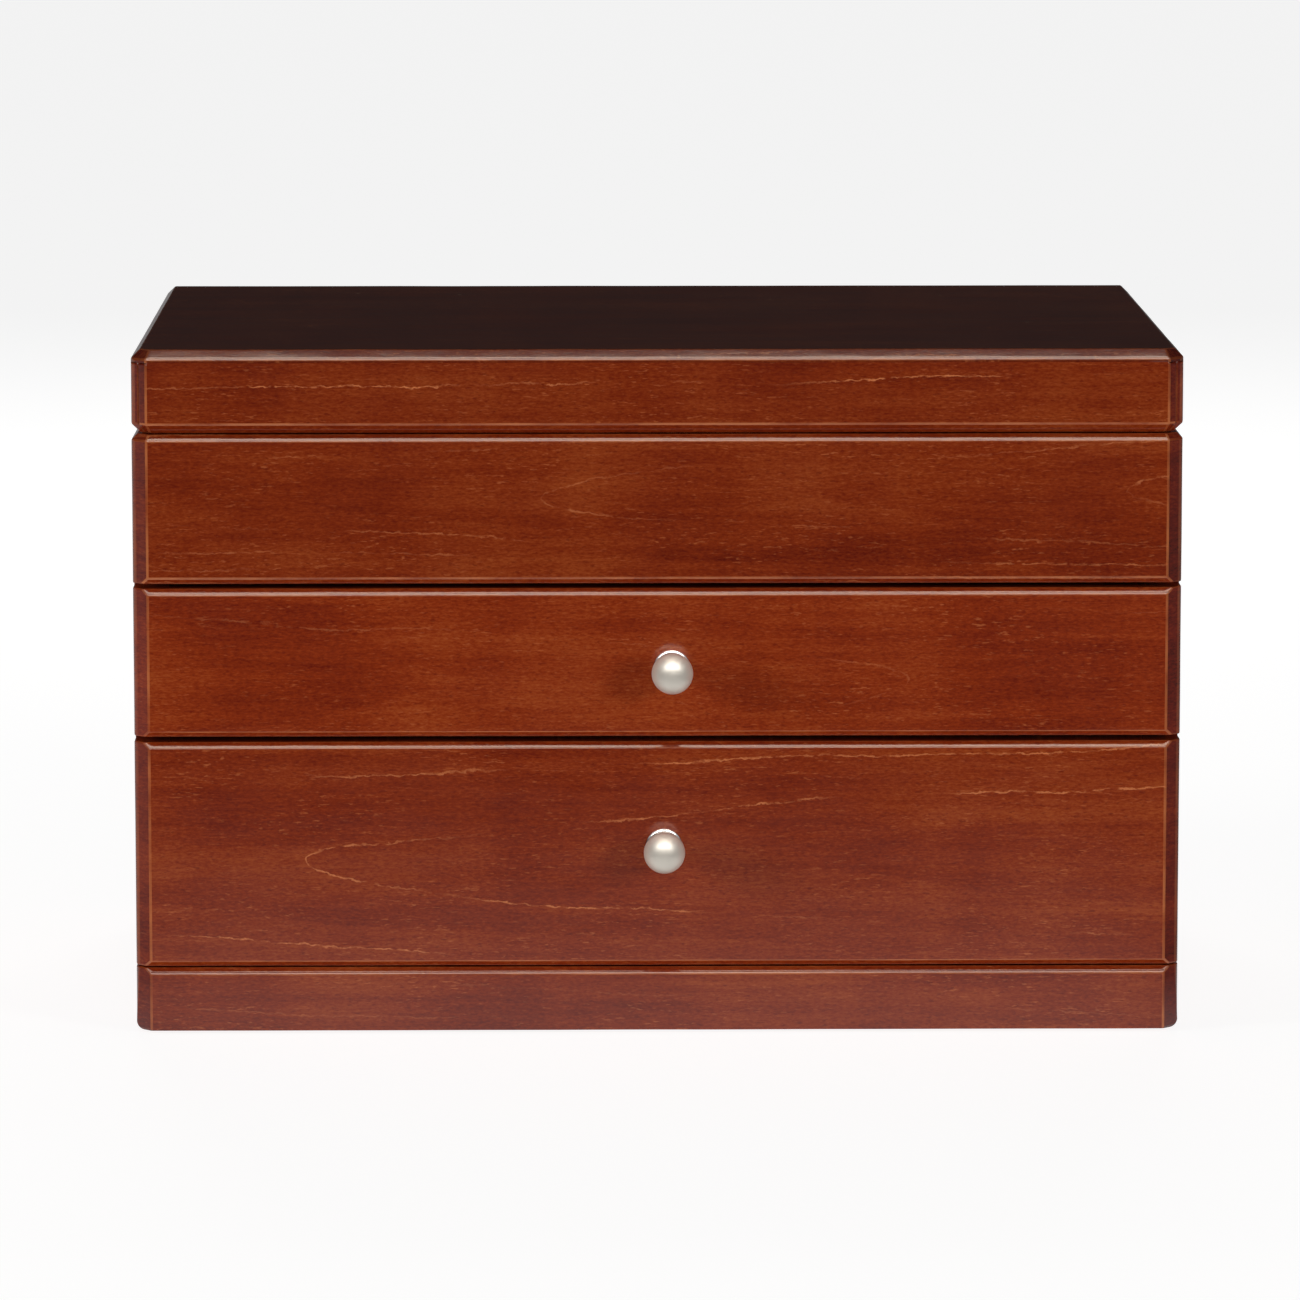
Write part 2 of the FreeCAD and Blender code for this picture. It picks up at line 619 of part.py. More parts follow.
def make_lid(cutters):
    cut_in, half_cut = "corner_chamfer", "corner_chamfer / 2"
    wide, deep, rail = "overall_width", "case_depth", "lid_rail"
    left, right = "-overall_width / 2", "overall_width / 2 - lid_rail"
    chamfer, rail_now = value(cut_in), value(rail)

    front = [(half_cut, half_cut), (cut_in, "0"), (f"{wide} - {cut_in}", "0"),
             (f"{wide} - {half_cut}", half_cut), (f"{wide} - {rail}", rail), (rail, rail)]
    node(lid_rail_body(front, left, FRONT, lambda p: p.y < chamfer / 2 + 1e-5), "lid_front_rail")
    back = [("0", rail), (rail, "0"), (f"{wide} - {rail}", "0"), (wide, rail)]
    body = lid_rail_body(back, left, f"{BACK} - {rail}", lambda p: near(p.y, rail_now))
    node(cut(body, *cutters), "lid_back_rail")

    for side, x, label in ((-1, left, "lid_left_rail"), (1, right, "lid_right_rail")):
        plan = [(half_cut, half_cut), (rail, rail), (rail, f"{deep} - {rail}"), ("0", deep), ("0", cut_in)]
        if side > 0:
            plan = [(f"{rail} - ({u})", v) for u, v in plan]
        outer = 0.0 if side < 0 else rail_now
        node(lid_rail_body(plan, x, FRONT, lambda p: abs(p.x - outer) < chamfer / 2 + 1e-5
                           and not p.y > value(deep) + 1), label)

    plan = [("0", deep), ("0", cut_in), (cut_in, "0"), (f"{wide} - {cut_in}", "0"), (wide, cut_in),
            (wide, deep)]
    body = board_body(plan, "lid_chamfer + lid_lip", (left, FRONT, f"{LID_TOP} - lid_chamfer - lid_lip"))
    top = value("lid_chamfer + lid_lip")
    dress(body, "Chamfer", "lid_chamfer", lambda p: near(p.z, top))
    inset = f"({rail} + tongue_gap)"
    pad(body, [(inset, inset), (f"{wide} - {inset}", inset), (f"{wide} - {inset}", f"{deep} - {inset}"),
               (inset, f"{deep} - {inset}")], "tongue_depth", downwards=True)
    node(body, "lid_top_panel")

    inner_width, inner_depth = f"({wide} - 2 * {inset})", f"({deep} - 2 * {inset})"
    x, y = f"{left} + {inset}", f"({FRONT} + {inset})"
    ceiling = f"({LID_TOP} - lid_chamfer - lid_lip - tongue_depth)"
    node(box((x, y, f"{ceiling} - lining_board"), (inner_width, inner_depth, "lining_board")),
         "lid_lining_board")
    centre_y = f"({FRONT} + case_depth / 2)"
    node(box(("-mirror_width / 2", f"{centre_y} - mirror_depth / 2",
              f"{ceiling} - lining_board - mirror_thickness"),
             ("mirror_width", "mirror_depth", "mirror_thickness")), "mirror")
    low = f"{ceiling} - lining_board - surround_thickness"
    hole_w, hole_d = "(mirror_width + 2 * mirror_gap)", "(mirror_depth + 2 * mirror_gap)"
    band_y, band_x = f"(({inner_depth} - {hole_d}) / 2)", f"(({inner_width} - {hole_w}) / 2)"
    node(group(
        box((x, y, low), (inner_width, band_y, "surround_thickness")),
        box((x, f"{y} + {band_y} + {hole_d}", low), (inner_width, band_y, "surround_thickness")),
        box((x, f"{y} + {band_y}", low), (band_x, hole_d, "surround_thickness")),
        box((f"{x} + {band_x} + {hole_w}", f"{y} + {band_y}", low),
            (band_x, hole_d, "surround_thickness")),
    ), "mirror_surround")


# ---------------------------------------------------------------- assembly

def write_parts():
    """Checks every object and sub-part, then writes one STEP file for each node."""
    doc.recompute()
    failed = [o.Label for o in doc.Objects if {"Invalid", "Error"} & set(o.State)]
    if failed:
        raise RuntimeError(f"these objects failed: {failed}")
    os.makedirs("parts", exist_ok=True)
    for item in nodes:
        shape = item.Shape
        if shape.isNull() or not shape.isValid() or not shape.Solids:
            raise RuntimeError(f"{item.Label} has no valid solid")
    for item in nodes:
        item.Shape.exportStep(os.path.join("parts", f"{item.Label}.step"))
    print(len(nodes), "nodes written")


make_carcass()
make_fixed_fronts()
case_cutters, lid_cutters = make_hinges()
make_back(case_cutters)
make_base_details()
make_bumpers()
make_tray()
make_drawer("upper", UPPER_FACE_LOW, "upper_knob_offset",
            f"{UPPER_FACE_LOW} + upper_face_height / 2 - upper_knob_drop", upper_partitions)
make_drawer("lower", LOWER_FACE_LOW, "lower_knob_offset",
            f"{LOWER_FACE_LOW} + lower_face_height / 2 + lower_knob_rise", lower_partitions)
make_lid(lid_cutters)
write_parts()
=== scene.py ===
"""Jewellery chest in red-brown lacquer: a lid with a mirror, a lined tray with ring rolls and two drawers."""

import json
import math
import random
from functools import partial

import bmesh
import bpy
from mathutils import Matrix, Vector


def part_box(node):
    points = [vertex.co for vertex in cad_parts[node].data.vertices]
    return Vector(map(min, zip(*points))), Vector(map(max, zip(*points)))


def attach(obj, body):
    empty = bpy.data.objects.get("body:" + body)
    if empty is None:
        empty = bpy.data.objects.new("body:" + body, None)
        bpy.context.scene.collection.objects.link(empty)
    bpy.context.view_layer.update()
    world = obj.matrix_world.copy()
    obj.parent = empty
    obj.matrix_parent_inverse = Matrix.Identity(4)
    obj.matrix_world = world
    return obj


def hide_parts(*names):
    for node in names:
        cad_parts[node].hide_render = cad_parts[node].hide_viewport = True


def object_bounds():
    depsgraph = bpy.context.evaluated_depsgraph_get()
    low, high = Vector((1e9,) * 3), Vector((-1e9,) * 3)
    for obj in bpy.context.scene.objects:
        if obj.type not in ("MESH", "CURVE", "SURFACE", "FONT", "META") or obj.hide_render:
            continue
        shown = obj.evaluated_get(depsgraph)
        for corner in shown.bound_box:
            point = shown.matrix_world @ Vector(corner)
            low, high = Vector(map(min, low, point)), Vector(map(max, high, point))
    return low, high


bl_info = {
    "name": "Jewellery chest",
    "version": (1, 0, 0),
    "blender": (4, 5, 0),
    "location": "3D View > Sidebar > Chest",
    "description": "Builds a lacquered jewellery chest with drawers around its packed frame",
    "category": "Object",
}

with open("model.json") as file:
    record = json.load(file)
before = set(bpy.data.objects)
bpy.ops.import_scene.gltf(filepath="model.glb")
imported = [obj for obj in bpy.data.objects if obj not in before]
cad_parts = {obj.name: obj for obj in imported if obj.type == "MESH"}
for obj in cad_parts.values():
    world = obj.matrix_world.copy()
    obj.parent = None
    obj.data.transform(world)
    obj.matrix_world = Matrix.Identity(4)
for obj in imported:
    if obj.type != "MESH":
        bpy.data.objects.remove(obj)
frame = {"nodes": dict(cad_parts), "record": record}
CAD_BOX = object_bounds()
HIGH = CAD_BOX[1]
FRONT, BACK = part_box("upper_front")[0].y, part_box("back_panel")[1].y
BODY_OF = {node: body for body, nodes in frame["record"]["behaviour"]["bodies"].items() for node in nodes}

FOOT_LEVEL = 0.006                  # below this the plinth is shaped by its cut corners alone
CHAMFER_DEPTH = 0.0052
ROUNDED_DEPTH = 0.0012              # arrises behind this depth from the front are less worn
HIDDEN_WEAR = 0.35
EDGE_CELL = 0.0007                  # a narrow row of cells that keeps the faces beside it evenly shaded
CELL = 0.006                        # size of the even cells of a lacquered board
SAME_PLACE = 0.000002
SHARP = math.radians(24)
DARKEST = (0.16, 0.013, 0.004)      # stain soaked into end grain
LEFT_END_PAINTED_LIGHT = 0.60               # painted light: the left ends keep only this share of the end-grain darkening, as if lit from the left
MATT, SMEARED = 0.42, 0.48          # roughness of a matt board and of the smears on it
POLISH = 0.345                      # what full gloss takes off it
FIGURE = ("Heart_along", "Heart_across", "Arch", "Ring_gap", "Line_weight", "Cloud", "Specks")
PLAIN = (0.0, 0.0, 0.002, 0.13)     # the start of a figure with no heart line of its own
RING_ROLLS = 9
ROLL_END_ROOM = 0.0016              # a roll is cut this much short, and swells back to its length
CLOTH_FRAMES = 20
QUARTER = math.radians(90)
UPRIGHT = 0.9                       # a face whose normal leans this far along an axis faces that way
BEVEL_BORDER, BEVEL_RISE = 0.0110, 0.0011     # the mirror's ground border
NECK_RADIUS = 0.0030                # where a knob's ball runs into its neck
SCREW_HEAD = 0.0019                 # radius of a hinge screw's head
SCREW_GAP = 0.018                   # between the two screws of one hinge leaf
SLOT_HALF = 0.00024                 # half the width of a screw's slot
KNUCKLE_CELL = 0.0016               # edges shorter than this belong to a hinge's round knuckles


# ---------------------------------------------------------------- settings

def length(name, description, default, longest):
    return bpy.props.FloatProperty(name=name, description=description, default=default, min=0.0, max=longest,
                                   unit="LENGTH")


def colour(name, description, default):
    return bpy.props.FloatVectorProperty(name=name, description=description, default=default, size=3, min=0.0,
                                         max=1.0, subtype="COLOR")


class ChestWoodSettings(bpy.types.PropertyGroup):
    """Lacquered boards."""
    arris: length("Arris", "How far a sanded front arris is rounded over", 0.00042, 0.003)
    corner: length("Corner", "How far the outer upright edges are rounded over", 0.0017, 0.004)
    unevenness: length("Unevenness", "How far hand sanding leaves a face out of flat", 0.00012, 0.001)
    light: colour("Light stain", "Colour where the stain took least", (0.40, 0.074, 0.014))
    middle: colour("Middle stain", "Colour of most of the wood", (0.27, 0.031, 0.005))
    dark: colour("Dark stain", "Colour where the stain took most", (0.145, 0.011, 0.003))


class ChestLiningSettings(bpy.types.PropertyGroup):
    """Velvet linings and ring rolls."""
    pile: colour("Pile", "Colour of the velvet", (0.95, 0.87, 0.72))
    edge: length("Edge", "How far the velvet rounds over a card's edge", 0.0007, 0.002)
    plumpness: length("Plumpness", "How far a ring roll may swell", 0.0009, 0.003)


class ChestMetalSettings(bpy.types.PropertyGroup):
    """Knobs, hinges and screws."""
    nickel: colour("Nickel", "Colour of the satin nickel balls", (0.86, 0.81, 0.72))
    brass: colour("Brass", "Colour of the hinges", (0.78, 0.57, 0.27))


class ChestStageSettings(bpy.types.PropertyGroup):
    """Floor, lights and camera."""
    floor: colour("Floor", "Colour of the floor", (0.30, 0.30, 0.30))
    glow: bpy.props.FloatProperty(
        name="Floor glow", description="How brightly the floor is lit from below", default=0.88,
        min=0.0, max=2.0)
    camera_place: bpy.props.FloatVectorProperty(
        name="Camera place", description="Where the camera stands", default=(-0.0299, -2.17235, 0.4006),
        size=3, subtype="TRANSLATION", unit="LENGTH")
    camera_tilt: bpy.props.FloatProperty(
        name="Camera tilt", description="How far the camera looks down", default=math.radians(7.94),
        subtype="ANGLE")
    camera_turn: bpy.props.FloatProperty(
        name="Camera turn", description="How far the camera is turned to the left",
        default=math.radians(-0.764), subtype="ANGLE")
    lens: bpy.props.FloatProperty(
        name="Lens", description="Focal length of the camera, in millimetres", default=202.98, min=10.0)


# ---------------------------------------------------------------- shaping helpers

def pick(*pieces):
    """Only these pieces are selected, and the first is active."""
    bpy.ops.object.select_all(action="DESELECT")
    for piece in pieces:
        piece.select_set(True)
    bpy.context.view_layer.objects.active = pieces[0]


def into_edit(piece, kind="FACE"):
    pick(piece)
    bpy.ops.object.mode_set(mode="EDIT")
    bpy.ops.mesh.select_mode(type=kind)


def out_of_edit():
    bpy.ops.object.mode_set(mode="OBJECT")


def choose(piece, kind, wanted):
    """In edit mode, selects the faces, edges or vertices that the test accepts."""
    bpy.ops.mesh.select_mode(type=kind)
    bpy.ops.mesh.select_all(action="DESELECT")
    shape = bmesh.from_edit_mesh(piece.data)
    for item in {"FACE": shape.faces, "EDGE": shape.edges, "VERT": shape.verts}[kind]:
        if wanted(item):
            item.select_set(True)
    shape.select_flush_mode()
    bmesh.update_edit_mesh(piece.data)


def middle_of(edge):
    return (edge.verts[0].co + edge.verts[1].co) / 2


def finish_with(piece, kind, **settings):
    """Adds a modifier and applies it."""
    pick(piece)
    modifier = piece.modifiers.new(kind.title(), kind)
    for name, value in settings.items():
        setattr(modifier, name, value)
    bpy.ops.object.modifier_apply(modifier=modifier.name)


def at_origin(piece):
    """Puts the piece's place, turn and size into its mesh."""
    pick(piece)
    bpy.ops.object.transform_apply(location=True, rotation=True, scale=True)


def fit(piece, node):
    """The piece stands for the node: it moves with the node's body, and the node is hidden."""
    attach(piece, BODY_OF[node])
    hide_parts(node)


def added(name):
    """The primitive that was just added, under its name and with its place in its mesh."""
    piece = bpy.context.object
    piece.name = name
    at_origin(piece)
    return piece


def dress_in(piece, *materials):
    piece.data.materials.clear()
    for material in materials:
        piece.data.materials.append(material)


def copy_of(node, name):
    """A merged copy of a node's shape as a piece of its own."""
    piece = bpy.data.objects.new(name, frame["nodes"][node].data.copy())
    bpy.context.scene.collection.objects.link(piece)
    for key in list(piece.data.keys()):
        del piece.data[key]
    into_edit(piece)
    bpy.ops.mesh.select_all(action="SELECT")
    bpy.ops.mesh.remove_doubles(threshold=SAME_PLACE)
    bpy.ops.mesh.dissolve_limited(angle_limit=math.radians(1.0))
    out_of_edit()
    return piece


def part_solids(piece):
    """Cuts solids that touch along an edge apart, so that each is rounded by itself."""
    into_edit(piece)
    shape = bmesh.from_edit_mesh(piece.data)
    waiting = set(shape.faces)
    while waiting:
        reached = [waiting.pop()]
        for face in reached:
            for edge in face.edges:
                if len(edge.link_faces) == 2:
                    found = waiting.intersection(edge.link_faces)
                    waiting -= found
                    reached.extend(found)
        if waiting:
            bmesh.ops.split(shape, geom=reached)
    bmesh.update_edit_mesh(piece.data)
    out_of_edit()


def twin_of(piece, name, move=(0.0, 0.0, 0.0)):
    """A copy with a mesh of its own, moved into place."""
    twin = piece.copy()
    twin.data = piece.data.copy()
    twin.name = name
    bpy.context.scene.collection.objects.link(twin)
    pick(twin)
    bpy.ops.transform.translate(value=move)
    at_origin(twin)
    return twin


def score(piece, steps):
    """Cuts the mesh into a net of even cells, so that a face can leave flat."""
    into_edit(piece)
    corners = [vertex.co for vertex in bmesh.from_edit_mesh(piece.data).verts]
    for axis, step in enumerate(steps):
        low, high = min(c[axis] for c in corners), max(c[axis] for c in corners)
        count = int((high - low) / step) if step else 0
        cuts = [low + (high - low) * i / count for i in range(1, count)]
        if cuts:
            cuts += [low + EDGE_CELL, high - EDGE_CELL]
        for cut in cuts:
            at, normal = [0.0] * 3, [0.0] * 3
            at[axis], normal[axis] = cut, 1.0
            bpy.ops.mesh.select_all(action="SELECT")
            bpy.ops.mesh.bisect(plane_co=at, plane_no=normal)
    out_of_edit()


def soften(piece, weigh, width, segments=3):
    """Rounds each sharp outer edge by its weight times the width, and marks the new faces as arris."""
    into_edit(piece, "EDGE")
    shape = bmesh.from_edit_mesh(piece.data)
    weights = shape.edges.layers.float.new("bevel_weight_edge")
    for edge in shape.edges:
        if len(edge.link_faces) == 2 and edge.calc_face_angle_signed(0.0) > SHARP:
            edge[weights] = weigh(middle_of(edge), edge)
    bmesh.update_edit_mesh(piece.data)
    out_of_edit()
    dress_in(piece, None, None)
    for face in piece.data.polygons:
        face.material_index = 0
    finish_with(piece, "BEVEL", limit_method="WEIGHT", width=width, segments=segments, material=1,
                use_clamp_overlap=False, miter_outer="MITER_SHARP")
    arris = piece.data.attributes.new("arris", "FLOAT", "FACE")
    for face in piece.data.polygons:
        arris.data[face.index].value = float(face.material_index == 1)
        face.material_index = 0
    piece.data.materials.clear()


def hand_sand(piece, depth, grain=0.03):
    """Leaves the faces slightly out of flat."""
    texture = bpy.data.textures.new(f"{piece.name}_sanding", "CLOUDS")
    texture.noise_scale = grain
    texture.noise_depth = 1
    finish_with(piece, "DISPLACE", texture=texture, texture_coords="LOCAL", strength=depth, mid_level=0.5)


def smooth(piece, angle=40):
    pick(piece)
    bpy.ops.object.shade_smooth_by_angle(angle=math.radians(angle))
    finish_with(piece, "WEIGHTED_NORMAL", keep_sharp=True, weight=80)


# ---------------------------------------------------------------- node helpers

def wire(tree, node, **inputs):
    """Gives a node values or other nodes' outputs. An underscore is a space, and i0 is the first input."""
    for name, value in inputs.items():
        numbered = name[0] == "i" and name[1:].isdigit()
        socket = node.inputs[int(name[1:]) if numbered else name.replace("_", " ")]
        if isinstance(value, bpy.types.NodeSocket):
            tree.links.new(value, socket)
        elif socket.type == "RGBA":
            socket.default_value = (*value[:3], 1.0)
        else:
            socket.default_value = value


def put(tree, kind, settings=None, **inputs):
    """Adds a node with its settings and inputs."""
    node = tree.nodes.new(kind)
    for name, value in (settings or {}).items():
        setattr(node, name, value)
    wire(tree, node, **inputs)
    return node


def calc(tree, operation, *values):
    """A Math node's output."""
    return put(tree, "ShaderNodeMath", {"operation": operation},
               **{f"i{i}": value for i, value in enumerate(values)}).outputs[0]


def times(tree, first, *others):
    """The product of all the values."""
    for other in others:
        first = calc(tree, "MULTIPLY", first, other)
    return first


def stretched(tree, value, low, high, out_low=0.0, out_high=1.0, smooth_ends=False):
    """The value with low..high spread over out_low..out_high, and held outside it."""
    return put(tree, "ShaderNodeMapRange", {"interpolation_type": "SMOOTHSTEP" if smooth_ends else "LINEAR"},
               Value=value, From_Min=low, From_Max=high, To_Min=out_low, To_Max=out_high).outputs["Result"]


def blended(tree, share, first, second):
    """Two colours mixed by a share."""
    return put(tree, "ShaderNodeMix", {"data_type": "RGBA", "blend_type": "MIX", "clamp_factor": True},
               i0=share, i6=first, i7=second).outputs[2]


def grainy(tree, place, scale, detail=2.0, roughness=0.5, shift=(0.0, 0.0, 0.0)):
    """Noise in cycles per metre: one scale, or one along each axis."""
    each = scale if isinstance(scale, tuple) else (scale,) * 3
    mapped = put(tree, "ShaderNodeMapping", Vector=place, Scale=each, Location=shift).outputs[0]
    return put(tree, "ShaderNodeTexNoise", Vector=mapped, Scale=1.0, Detail=detail,
               Roughness=roughness).outputs["Fac"]


def patches(tree, place, scale, low, high, *noise):
    """Where noise rises from low to high, from 0 to 1."""
    return stretched(tree, grainy(tree, place, scale, *noise), low, high)


def bumped(tree, height, strength, distance):
    return put(tree, "ShaderNodeBump", Strength=strength, Distance=distance, Height=height).outputs[0]


def new_group(name, inputs, outputs):
    """A node group with named sockets. Returns the group and its inside inputs and outputs."""
    group = bpy.data.node_groups.new(name, "ShaderNodeTree")
    for label, kind, value in inputs:
        item = group.interface.new_socket(name=label, in_out="INPUT", socket_type=f"NodeSocket{kind}")
        if value is not None:
            item.default_value = value
    for label, kind in outputs:
        group.interface.new_socket(name=label, in_out="OUTPUT", socket_type=f"NodeSocket{kind}")
    start, end = group.nodes.new("NodeGroupInput"), group.nodes.new("NodeGroupOutput")
    return group, start.outputs, end.inputs


def built_once(build):
    """A node group that is built when a material first asks for it, under its function's name."""
    name = build.__name__.replace("_", " ").capitalize()
    return lambda: bpy.data.node_groups.get(name) or build(name)


@built_once
def board_figure(name):
    """Stained close-grained wood. Place runs along the grain in X, across it in Y and into the board in Z."""
    group, give, take = new_group(name, [
        ("Place", "Vector", None), ("Light", "Color", None), ("Middle", "Color", None),
        ("Dark", "Color", None),
        ("Heart along", "Float", 0.0), ("Heart across", "Float", 0.0), ("Arch", "Float", 0.002),
        ("Ring gap", "Float", 0.13), ("Line weight", "Float", 0.6), ("Cloud", "Float", 0.3),
        ("Specks", "Float", 0.0), ("End grain", "Float", 0.0),
    ], [("Color", "Color"), ("Height", "Float")])
    place, arched = give["Place"], give["Arch"]
    do, product = partial(calc, group), partial(times, group)
    spread, mix = partial(stretched, group), partial(blended, group)
    noise, spots = partial(grainy, group, place), partial(patches, group, place)

    def centred(value):
        return do("SUBTRACT", value, 0.5)

    # the tone runs from dark at 0 to light at 1, and layers of noise move it by their weights
    streak = spots((90, 1100, 300), 0.28, 0.72, 4, 0.7)
    tone = do("MULTIPLY_ADD", centred(spots((9, 36, 20), 0.30, 0.70, 3)), give["Cloud"], 0.5)
    for layer, weight in ((spots((40, 9, 10), 0.30, 0.70, 2, 0.5, (3.1, 0.7, 1.9)), 0.22),
                          (spots((14, 240, 60), 0.30, 0.70, 3, 0.55, (1.3, 5.2, 0.4)), 0.26),
                          (streak, 0.28),
                          (spots((620, 1700, 500), 0.32, 0.68, 3, 0.7, (7.7, 1.1, 2.3)), 0.46)):
        tone = do("MULTIPLY_ADD", centred(layer), weight, tone)

    # growth rings come out on the face as arches about the heart line
    parts = put(group, "ShaderNodeSeparateXYZ", Vector=place).outputs
    sway = centred(noise((12, 26, 10), 2, 0.5, (6.0, 1.0, 4.0)))
    swell = centred(noise((9, 22, 10), 2, 0.5, (2.0, 7.0, 3.0)))
    jag = centred(noise((280, 420, 60), 3, 0.65))
    across = do("ADD", do("SUBTRACT", parts[1], give["Heart across"]),
                do("ADD", product(sway, 0.009), product(jag, 0.0024)))
    along = do("MULTIPLY_ADD", swell, 0.07, do("SUBTRACT", parts[0], give["Heart along"]))
    arch, square = do("ABSOLUTE", arched), product(across, across)
    rise = do("SUBTRACT", square, product(along, arched))
    step = product(arch, give["Ring gap"])
    slope = do("SQRT", do("MULTIPLY_ADD", arch, arch, product(square, 4.0)))
    turn = do("FRACT", do("ADD", do("DIVIDE", rise, step), 0.5))
    beyond = do("DIVIDE", product(centred(turn), step), slope)

    # each ring is a thin pale line with a soft glow on one side, and breaks off here and there
    line = spread(do("ABSOLUTE", beyond), 0.00008, 0.00030, 1.0, 0.0)
    glow = product(do("GREATER_THAN", beyond, 0.0), spread(beyond, 0.0, 0.0042, 1.0, 0.0, True))
    heart = product(spread(do("ABSOLUTE", along), 0.01, 0.05, 1.0, 0.0),
                    spread(do("ABSOLUTE", do("DIVIDE", rise, arch)), 0.03, 0.06, 1.0, 0.0))
    long_grain = do("SUBTRACT", 1.0, give["End grain"])
    shown = product(do("MAXIMUM", spots((15, 46, 20), 0.47, 0.58, 3, 0.6, (5.5, 2.5, 1.5)), heart),
                    give["Line weight"], long_grain)
    line = product(line, shown, spots((260, 120, 90), 0.36, 0.56, 3, 0.6))
    for part, weight in ((product(glow, shown), 0.20), (centred(turn), -0.10), (give["End grain"], -0.54)):
        tone = do("MULTIPLY_ADD", part, weight, tone)

    color = mix(spread(tone, -0.5, 0.0), [0.35 * c for c in DARKEST], give["Dark"])
    color = mix(spread(tone, 0.0, 0.5), color, give["Middle"])
    color = mix(spread(tone, 0.5, 1.0), color, give["Light"])

    # short pale rays, short dark pores, and grains of dust and lint on the lacquer
    rays = product(spots((330, 1700, 400), 0.61, 0.71, 2, 0.6, (4.4, 8.2, 0.9)),
                   spots((24, 70, 30), 0.30, 0.65, 2, 0.5, (2.0, 3.0, 5.0)), long_grain)
    pores = spots((420, 1300, 500), 0.59, 0.70, 2, 0.6, (9.1, 2.7, 6.3))
    cells = put(group, "ShaderNodeTexVoronoi", Vector=place, Scale=95.0).outputs
    chosen = spread(put(group, "ShaderNodeSeparateColor", Color=cells["Color"]).outputs[0], 0.93, 0.94)
    dust = product(spread(cells["Distance"], 0.04, 0.08, 1.0, 0.0), chosen, give["Specks"])
    for share, over in ((product(rays, 0.46), mix(0.7, give["Middle"], (0.85, 0.26, 0.08))),
                        (product(pores, 0.55), give["Dark"]),
                        (line, (0.80, 0.26, 0.09)),
                        (dust, (0.60, 0.38, 0.24))):
        color = mix(share, color, over)
    group.links.new(color, take["Color"])
    group.links.new(do("MULTIPLY_ADD", pores, -0.7, product(streak, 0.5)), take["Height"])
    return group


@built_once
def arris_wear(name):
    """Thin stain where an arris was sanded, from the mesh's arris attribute."""
    group, give, take = new_group(name, [
        ("Place", "Vector", None), ("Arris", "Float", 0.0), ("Color", "Color", None),
        ("Bare wood", "Color", (0.66, 0.21, 0.07, 1.0)), ("Amount", "Float", 0.65)], [("Color", "Color")])
    patchy = stretched(group, grainy(group, give["Place"], 60, 3, 0.6), 0.38, 0.62, 0.3, 1.0)
    wear = times(group, patchy, give["Arris"], give["Amount"])
    group.links.new(blended(group, wear, give["Color"], give["Bare wood"]), take["Color"])
    return group


@built_once
def handling(name):
    """Faint smears of handling, as a change of roughness."""
    group, give, take = new_group(name, [("Place", "Vector", None), ("Smooth", "Float", 0.1),
                                         ("Smeared", "Float", 0.2)], [("Roughness", "Float")])
    smear = patches(group, give["Place"], 25, 0.4, 0.7, 4, 0.6)
    group.links.new(stretched(group, smear, 0.0, 1.0, give["Smooth"], give["Smeared"]), take["Roughness"])
    return group


@built_once
def velvet_pile(name):
    """Short velvet pile that lies in brushed patches, with some lint. The brushed patches are painted sheen,
    lighter and darker in the colour, and the dark roots between tufts are painted shade.
    """
    group, give, take = new_group(name, [("Place", "Vector", None), ("Pile", "Color", None)],
                                  [("Color", "Color"), ("Height", "Float")])
    spots = partial(patches, group, give["Place"])
    brushed = spots(38, 0.34, 0.66, 3, 0.55)
    tufts = spots(1600, 0.3, 0.7, 2, 0.6)
    lint = spots(700, 0.66, 0.74, 2, 0.5, (3.0, 1.0, 2.0))
    # painted sheen: the brushed patches darken the pile colour down to 0.84, as light catches the pile
    # unevenly
    brushed_sheen_colour = blended(group, stretched(group, brushed, 0.0, 1.0, 0.84, 1.0), (0.0, 0.0, 0.0), give["Pile"])
    # painted shade: the roots between tufts are darkened, as shade falls deep in the pile
    root_shade_colour = blended(group, 0.5, brushed_sheen_colour, (0.20, 0.13, 0.07))
    tuft_shaded_colour = blended(group, times(group, tufts, 0.18), brushed_sheen_colour, root_shade_colour)
    group.links.new(blended(group, times(group, lint, 0.25), tuft_shaded_colour, (0.85, 0.82, 0.76)), take["Color"])
    group.links.new(calc(group, "MULTIPLY_ADD", brushed, 0.4, tufts), take["Height"])
    return group


# ---------------------------------------------------------------- materials

def object_place(tree):
    return put(tree, "ShaderNodeTexCoord").outputs["Object"]


def board_place(tree, order, shift):
    """Object coordinates in the order along the grain, across it and into the board, shifted by the board."""
    parts = put(tree, "ShaderNodeSeparateXYZ", Vector=object_place(tree)).outputs
    joined = put(tree, "ShaderNodeCombineXYZ", **{
        axis: parts["xyz".index(letter)] for axis, letter in zip("XYZ", order)}).outputs[0]
    return put(tree, "ShaderNodeMapping", Vector=joined, Location=shift).outputs[0]


def in_group(tree, group, **inputs):
    return put(tree, "ShaderNodeGroup", {"node_tree": group}, **inputs).outputs


def fresh_material(name, **values):
    """A node material, its tree and its surface shader, with the shader's constant values set."""
    material = bpy.data.materials.new(name)
    material.use_nodes = True
    tree = material.node_tree
    surface = tree.nodes["Principled BSDF"]
    wire(tree, surface, **values)
    return material, tree, surface


